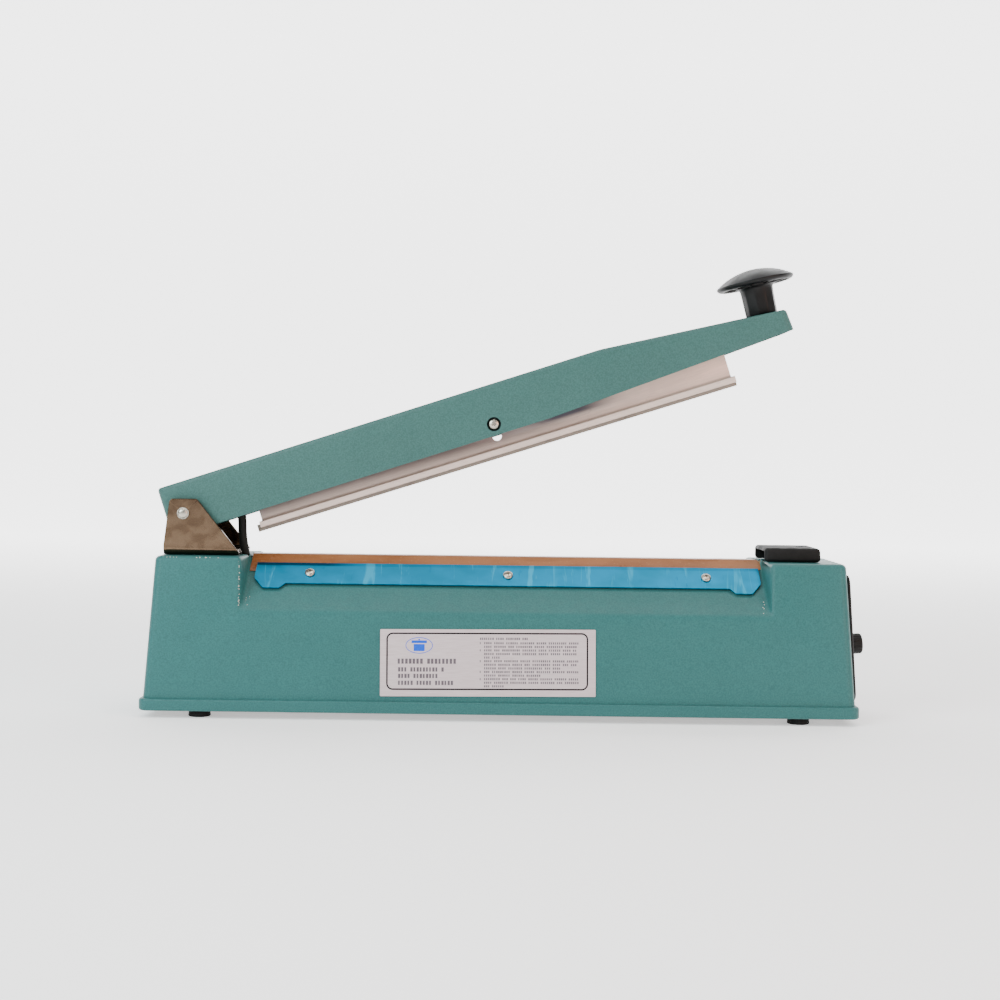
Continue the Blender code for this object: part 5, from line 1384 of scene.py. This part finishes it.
def make_knob():
    """Timer knob with fine flutes and a pointer line, on the potentiometer's shaft."""
    low, high = cad_box("timer_knob")
    radius = 0.5 * (high.y - low.y)
    reach = high.x - wall_x(PANEL_MID) - GAP - (radius - KNOB_RISE) * math.sin(END_DRAFT)
    end = reach / math.cos(END_DRAFT) - 0.05
    start = PANEL_THICK + GAP
    profile = [(0.0, end - 0.5), (radius - 2.6, end - 0.5), (radius - 2.2, end), (radius - 1.2, end),
               (radius - 0.5, end - 0.4), (radius - 0.1, end - 1.2), (radius - 0.05, start + 0.6),
               (radius - 0.3, start), (3.3, start), (3.3, 12.4), (0.0, 12.4)]

    def flutes(angle, r, height):
        return r - 0.32 * max(0.0, math.cos(18 * angle)) if r > radius - 0.6 else r

    turn = Matrix.Rotation(math.pi / 2, 4, "Y")
    knob = lathe("timer_dial", profile, 216, PANEL_MATRIX @ upright(0, 0, KNOB_RISE) @ turn, flutes)
    knob.data.materials.append(BLACK)
    mark = box("pointer", (end - 0.55, end - 0.38), (-0.35, 0.35), (0.8, radius - 2.9),
               PANEL_MATRIX @ upright(0, 0, KNOB_RISE) @ Matrix.Rotation(math.radians(-135), 4, "X"))
    mark.data.materials.append(INK_WHITE)
    settle(merge("timer_dial", [knob, mark]), "timer_knob", None, "black_plastic", "timer_knob", smooth_angle=30)
    lens = [(0.0, 3.0), (1.3, 2.9), (2.6, 2.4), (3.6, 1.5), (4.0, 0.7), (4.6, 0.65), (4.95, 0.5), (5.0, 0.06),
            (4.0, 0.06)]
    lens = [(r, PANEL_THICK + rise) for r, rise in lens] + [(4.0, -11.0), (0.0, -11.0)]
    lamp = lathe("lamp_lens", lens, 64, PANEL_MATRIX @ upright(0, 0, LAMP_RISE) @ turn)
    settle(lamp, "base", RED, "red_plastic", "indicator_lamp", smooth_angle=35)


def oval(half_x, half_z, x, z, sides=40):
    turns = (2 * math.pi * step / sides for step in range(sides))
    return [(x + half_x * math.cos(turn), z + half_z * math.sin(turn)) for turn in turns]


def rounded_plate(left, right, low, high, corner):
    return fillet([(left, low), (right, low), (right, high), (left, high)], corner, 8)


def make_label():
    """Silvered rating plate with a generic face: an outline, a bag-and-bar pictogram and rows of plain dashes."""
    middle = 0.5 * (LABEL_LOW + LABEL_HIGH)
    half_x, half_z, thick = LABEL_HALF_X, LABEL_HALF_Z, LABEL_THICK
    seat = upright(middle.x, -wall_y(middle.z) - GAP - 0.15, middle.z, (-SIDE_DRAFT, 0, 0))
    seat = seat @ Matrix.Rotation(-LABEL_TURN, 4, "Y")
    sheet = prism("label_sheet", rounded_plate(-half_x, half_x, -half_z, half_z, 0.6), "XZ",
                  (-thick / 2, thick / 2), seat)
    bevel(sheet, 0.05, 1, 60)
    settle(sheet, "base", LABEL, "label_foil", "rating_label", smooth_angle=30)
    face = (-thick / 2 - 0.04, -thick / 2 + 0.02)

    def ring(name, outer, inner, finish):
        band = prism(name, outer, "XZ", face)
        cut(band, prism("inner", inner, "XZ", (-2, 2)))
        band.matrix_world = seat
        settle(band, "base", finish, "label_foil", smooth_angle=0)

    left, right, low, high, line = 3.7 - half_x, half_x - 4.5, 3.8 - half_z, half_z - 2.0, 0.95
    ring("label_outline", rounded_plate(left, right, low, high, 3.9),
         rounded_plate(left + line, right - line, low + line, high - line, 3.9 - line), INK_BLACK)
    chance = random.Random(5)

    def print_marks(name, places, finish):
        marks = [box("mark", (x0, x1), face, (z0, z1)) for x0, x1, z0, z1 in places]
        for mark in marks:
            mark.data.materials.append(finish)
        item = merge(name, marks)
        item.matrix_world = seat
        settle(item, "base", None, "label_foil", smooth_angle=0)

    def dashes(start, end, top, tall, stroke):
        """A row of small blocks in groups, like words seen from too far to read."""
        places, x, group = [], start, chance.randint(3, 8)
        while x < end - stroke:
            places.append((x, x + stroke * chance.uniform(0.8, 1.1), top - tall, top))
            group -= 1
            x += stroke * 1.45
            if group == 0:
                x += stroke * 1.3
                group = chance.randint(3, 9)
        return places

    title = []
    for start, end, top, tall in TITLE_ROWS:
        title += dashes(start, end, top, tall, 0.50 * tall)
    print_marks("label_title", title, INK_TITLE)
    rows = dashes(-4.8, 25.3, 15.2, 1.4, 0.85)
    for index in range(13):
        top = 12.5 - 2.15 * index
        rows += dashes(-2.3, SHORT_ROWS.get(index, chance.uniform(53.5, 55.5)), top, 1.3, 0.85)
        if index in NUMBERED_ROWS:
            rows.append((-4.9, -4.3, top - 1.3, top))
    print_marks("label_rows", rows, INK_GREY)
    x, z = -41.3, 10.4
    ring("label_oval", oval(8.2, 4.9, x, z), oval(7.8, 4.5, x, z), INK_BLUE)
    bag = [(x - 4.6, x + 4.6, z + 1.4, z + 3.0), (x - 3.3, x + 3.3, z - 3.4, z + 0.8),
           (x - 0.5, x + 0.5, z + 3.2, z + 3.9)]
    print_marks("label_pictogram", bag, INK_BLUE)


def make_gland():
    """Ribbed cord gland in the rear wall."""
    profile = [(3.6, 3.0), (4.4, 3.0), (4.7, 3.0), (6.6, 3.0), (6.9, 2.9), (7.9, 2.0), (8.0, 1.7), (8.0, 0.06),
               (5.3, 0.06), (5.3, -1.6), (4.9, -1.9), (4.9, -2.6), (5.3, -2.9), (5.3, -4.0), (4.9, -4.3),
               (4.9, -5.4), (5.2, -6.0), (3.6, -6.0)]
    seat = upright(GLAND_X, wall_y(GLAND_Z), GLAND_Z, (-math.pi / 2 + SIDE_DRAFT, 0, 0))
    gland = lathe("cord_bush", profile, 56, seat)
    settle(gland, "base", BLACK, "black_plastic", "cord_gland", smooth_angle=35)


def make_inner_pieces():
    """Pieces inside the base and the arm, shown from the CAD with finishes of their own."""
    for node, finish, slot in (("transformer_core", CORE, "core"), ("transformer_coil", COPPER, "coil"),
                               ("transformer_strap", STEEL, "fastener"), ("timer_board", BOARD, "board"),
                               ("power_relay", RELAY, "black_plastic"), ("timer_potentiometer", STEEL, "fastener"),
                               ("hinge_sleeve", BRASS, "brass"), ("micro_switch", BLACK, "black_plastic"),
                               ("switch_lever", STEEL, "spring_steel"),
                               ("switch_plunger", LEAD_RED, "red_plastic"),
                               ("element_lead", LEAD_RED, "lead_red")):
        carry(node, finish)


def build():
    make_base()
    make_wear()
    make_feet()
    make_tape()
    make_plates()
    make_cover()
    make_terminals()
    make_bracket()
    make_pin()
    make_arm()
    make_bar()
    make_bolt()
    make_handle()
    make_cable()
    make_panel()
    make_knob()
    make_label()
    make_gland()
    make_inner_pieces()


# ---------------------------------------------------------------- stage

WORLD_STRENGTH = 0.55
FLOOR_GLOW, WALL_GLOW = 0.5, 2.6


def make_stage():
    """White floor and backdrop, and the world's soft studio light."""
    sweep = bmesh.new()
    profile = [(-6.0, 0.0), (2.2, 0.0)]
    for step in range(1, 13):
        angle = math.radians(90 * step / 12)
        profile.append((2.2 + 1.2 * math.sin(angle), 1.2 - 1.2 * math.cos(angle)))
    profile.append((3.4, 6.0))
    rows = [[sweep.verts.new((x, y, z)) for x in (-8.0, 8.0)] for y, z in profile]
    for near, far in zip(rows, rows[1:]):
        sweep.faces.new((near[0], near[1], far[1], far[0]))
    mesh = bpy.data.meshes.new("backdrop")
    sweep.to_mesh(mesh)
    sweep.free()
    backdrop = bpy.data.objects.new("backdrop", mesh)
    bpy.context.scene.collection.objects.link(backdrop)
    mesh.shade_smooth()
    mesh.materials.append(white_paper())
    world = bpy.data.worlds.new("studio")
    world.use_nodes = True
    world.node_tree.nodes["Background"].inputs["Color"].default_value = (0.95, 0.975, 1.0, 1)
    world.node_tree.nodes["Background"].inputs["Strength"].default_value = WORLD_STRENGTH
    bpy.context.scene.world = world


def white_paper():
    """Backdrop paper, matt in front and lit from within towards the wall, so that it stays white."""
    paper = bpy.data.materials.new("paper")
    paper.use_nodes = True
    nodes, links = paper.node_tree.nodes, paper.node_tree.links
    shader = nodes["Principled BSDF"]
    shader.inputs["Base Color"].default_value = (0.93, 0.93, 0.93, 1)
    shader.inputs["Roughness"].default_value = 0.9
    shader.inputs["Emission Color"].default_value = (1, 1, 1, 1)
    source = nodes.new("ShaderNodeTexCoord")
    split = nodes.new("ShaderNodeSeparateXYZ")
    glow = nodes.new("ShaderNodeMapRange")
    glow.interpolation_type = "SMOOTHSTEP"
    links.new(source.outputs["Object"], split.inputs[0])
    links.new(split.outputs["Y"], glow.inputs["Value"])
    for key, value in (("From Min", 0.1), ("From Max", 2.2), ("To Min", FLOOR_GLOW), ("To Max", WALL_GLOW)):
        glow.inputs[key].default_value = value
    links.new(glow.outputs["Result"], shader.inputs["Emission Strength"])
    return paper


def area_light(name, place, target, size, power, colour=(1, 1, 1)):
    lamp = bpy.data.lights.new(name, "AREA")
    lamp.shape = "RECTANGLE"
    lamp.size, lamp.size_y = size
    lamp.energy = power
    lamp.color = colour
    item = bpy.data.objects.new(name, lamp)
    item.location = place
    item.rotation_euler = (Vector(target) - Vector(place)).to_track_quat("-Z", "Y").to_euler()
    bpy.context.scene.collection.objects.link(item)
    return item


def make_lights():
    area_light("key", (-1.0, -1.05, 0.8), (-0.12, 0, 0.12), (0.9, 0.9), 22, (0.86, 1.0, 1.03))
    area_light("fill", (1.3, -1.2, 0.6), (0.1, 0, 0.1), (1.2, 1.0), 15, (1.0, 0.60, 0.46))
    area_light("top", (0.1, -0.5, 1.5), (0, 0, 0.1), (1.4, 0.7), 14, (1.0, 0.94, 0.9))


CAMERA_PLACE = Vector((-0.0055, -1.0425, 0.1574))
CAMERA_PITCH, CAMERA_ROLL = math.radians(-1.37), math.radians(-0.75)


def make_camera():
    """Camera level with the arm, square to the front."""
    camera = bpy.data.cameras.new("camera")
    camera.lens = 60.3
    camera.sensor_width = 36.0
    item = bpy.data.objects.new("camera", camera)
    facing = Matrix.Rotation(math.pi / 2 + CAMERA_PITCH, 4, "X") @ Matrix.Rotation(-CAMERA_ROLL, 4, "Z")
    item.matrix_world = Matrix.Translation(CAMERA_PLACE) @ facing
    bpy.context.scene.collection.objects.link(item)
    bpy.context.scene.camera = item


build()
make_stage()
make_lights()
make_camera()
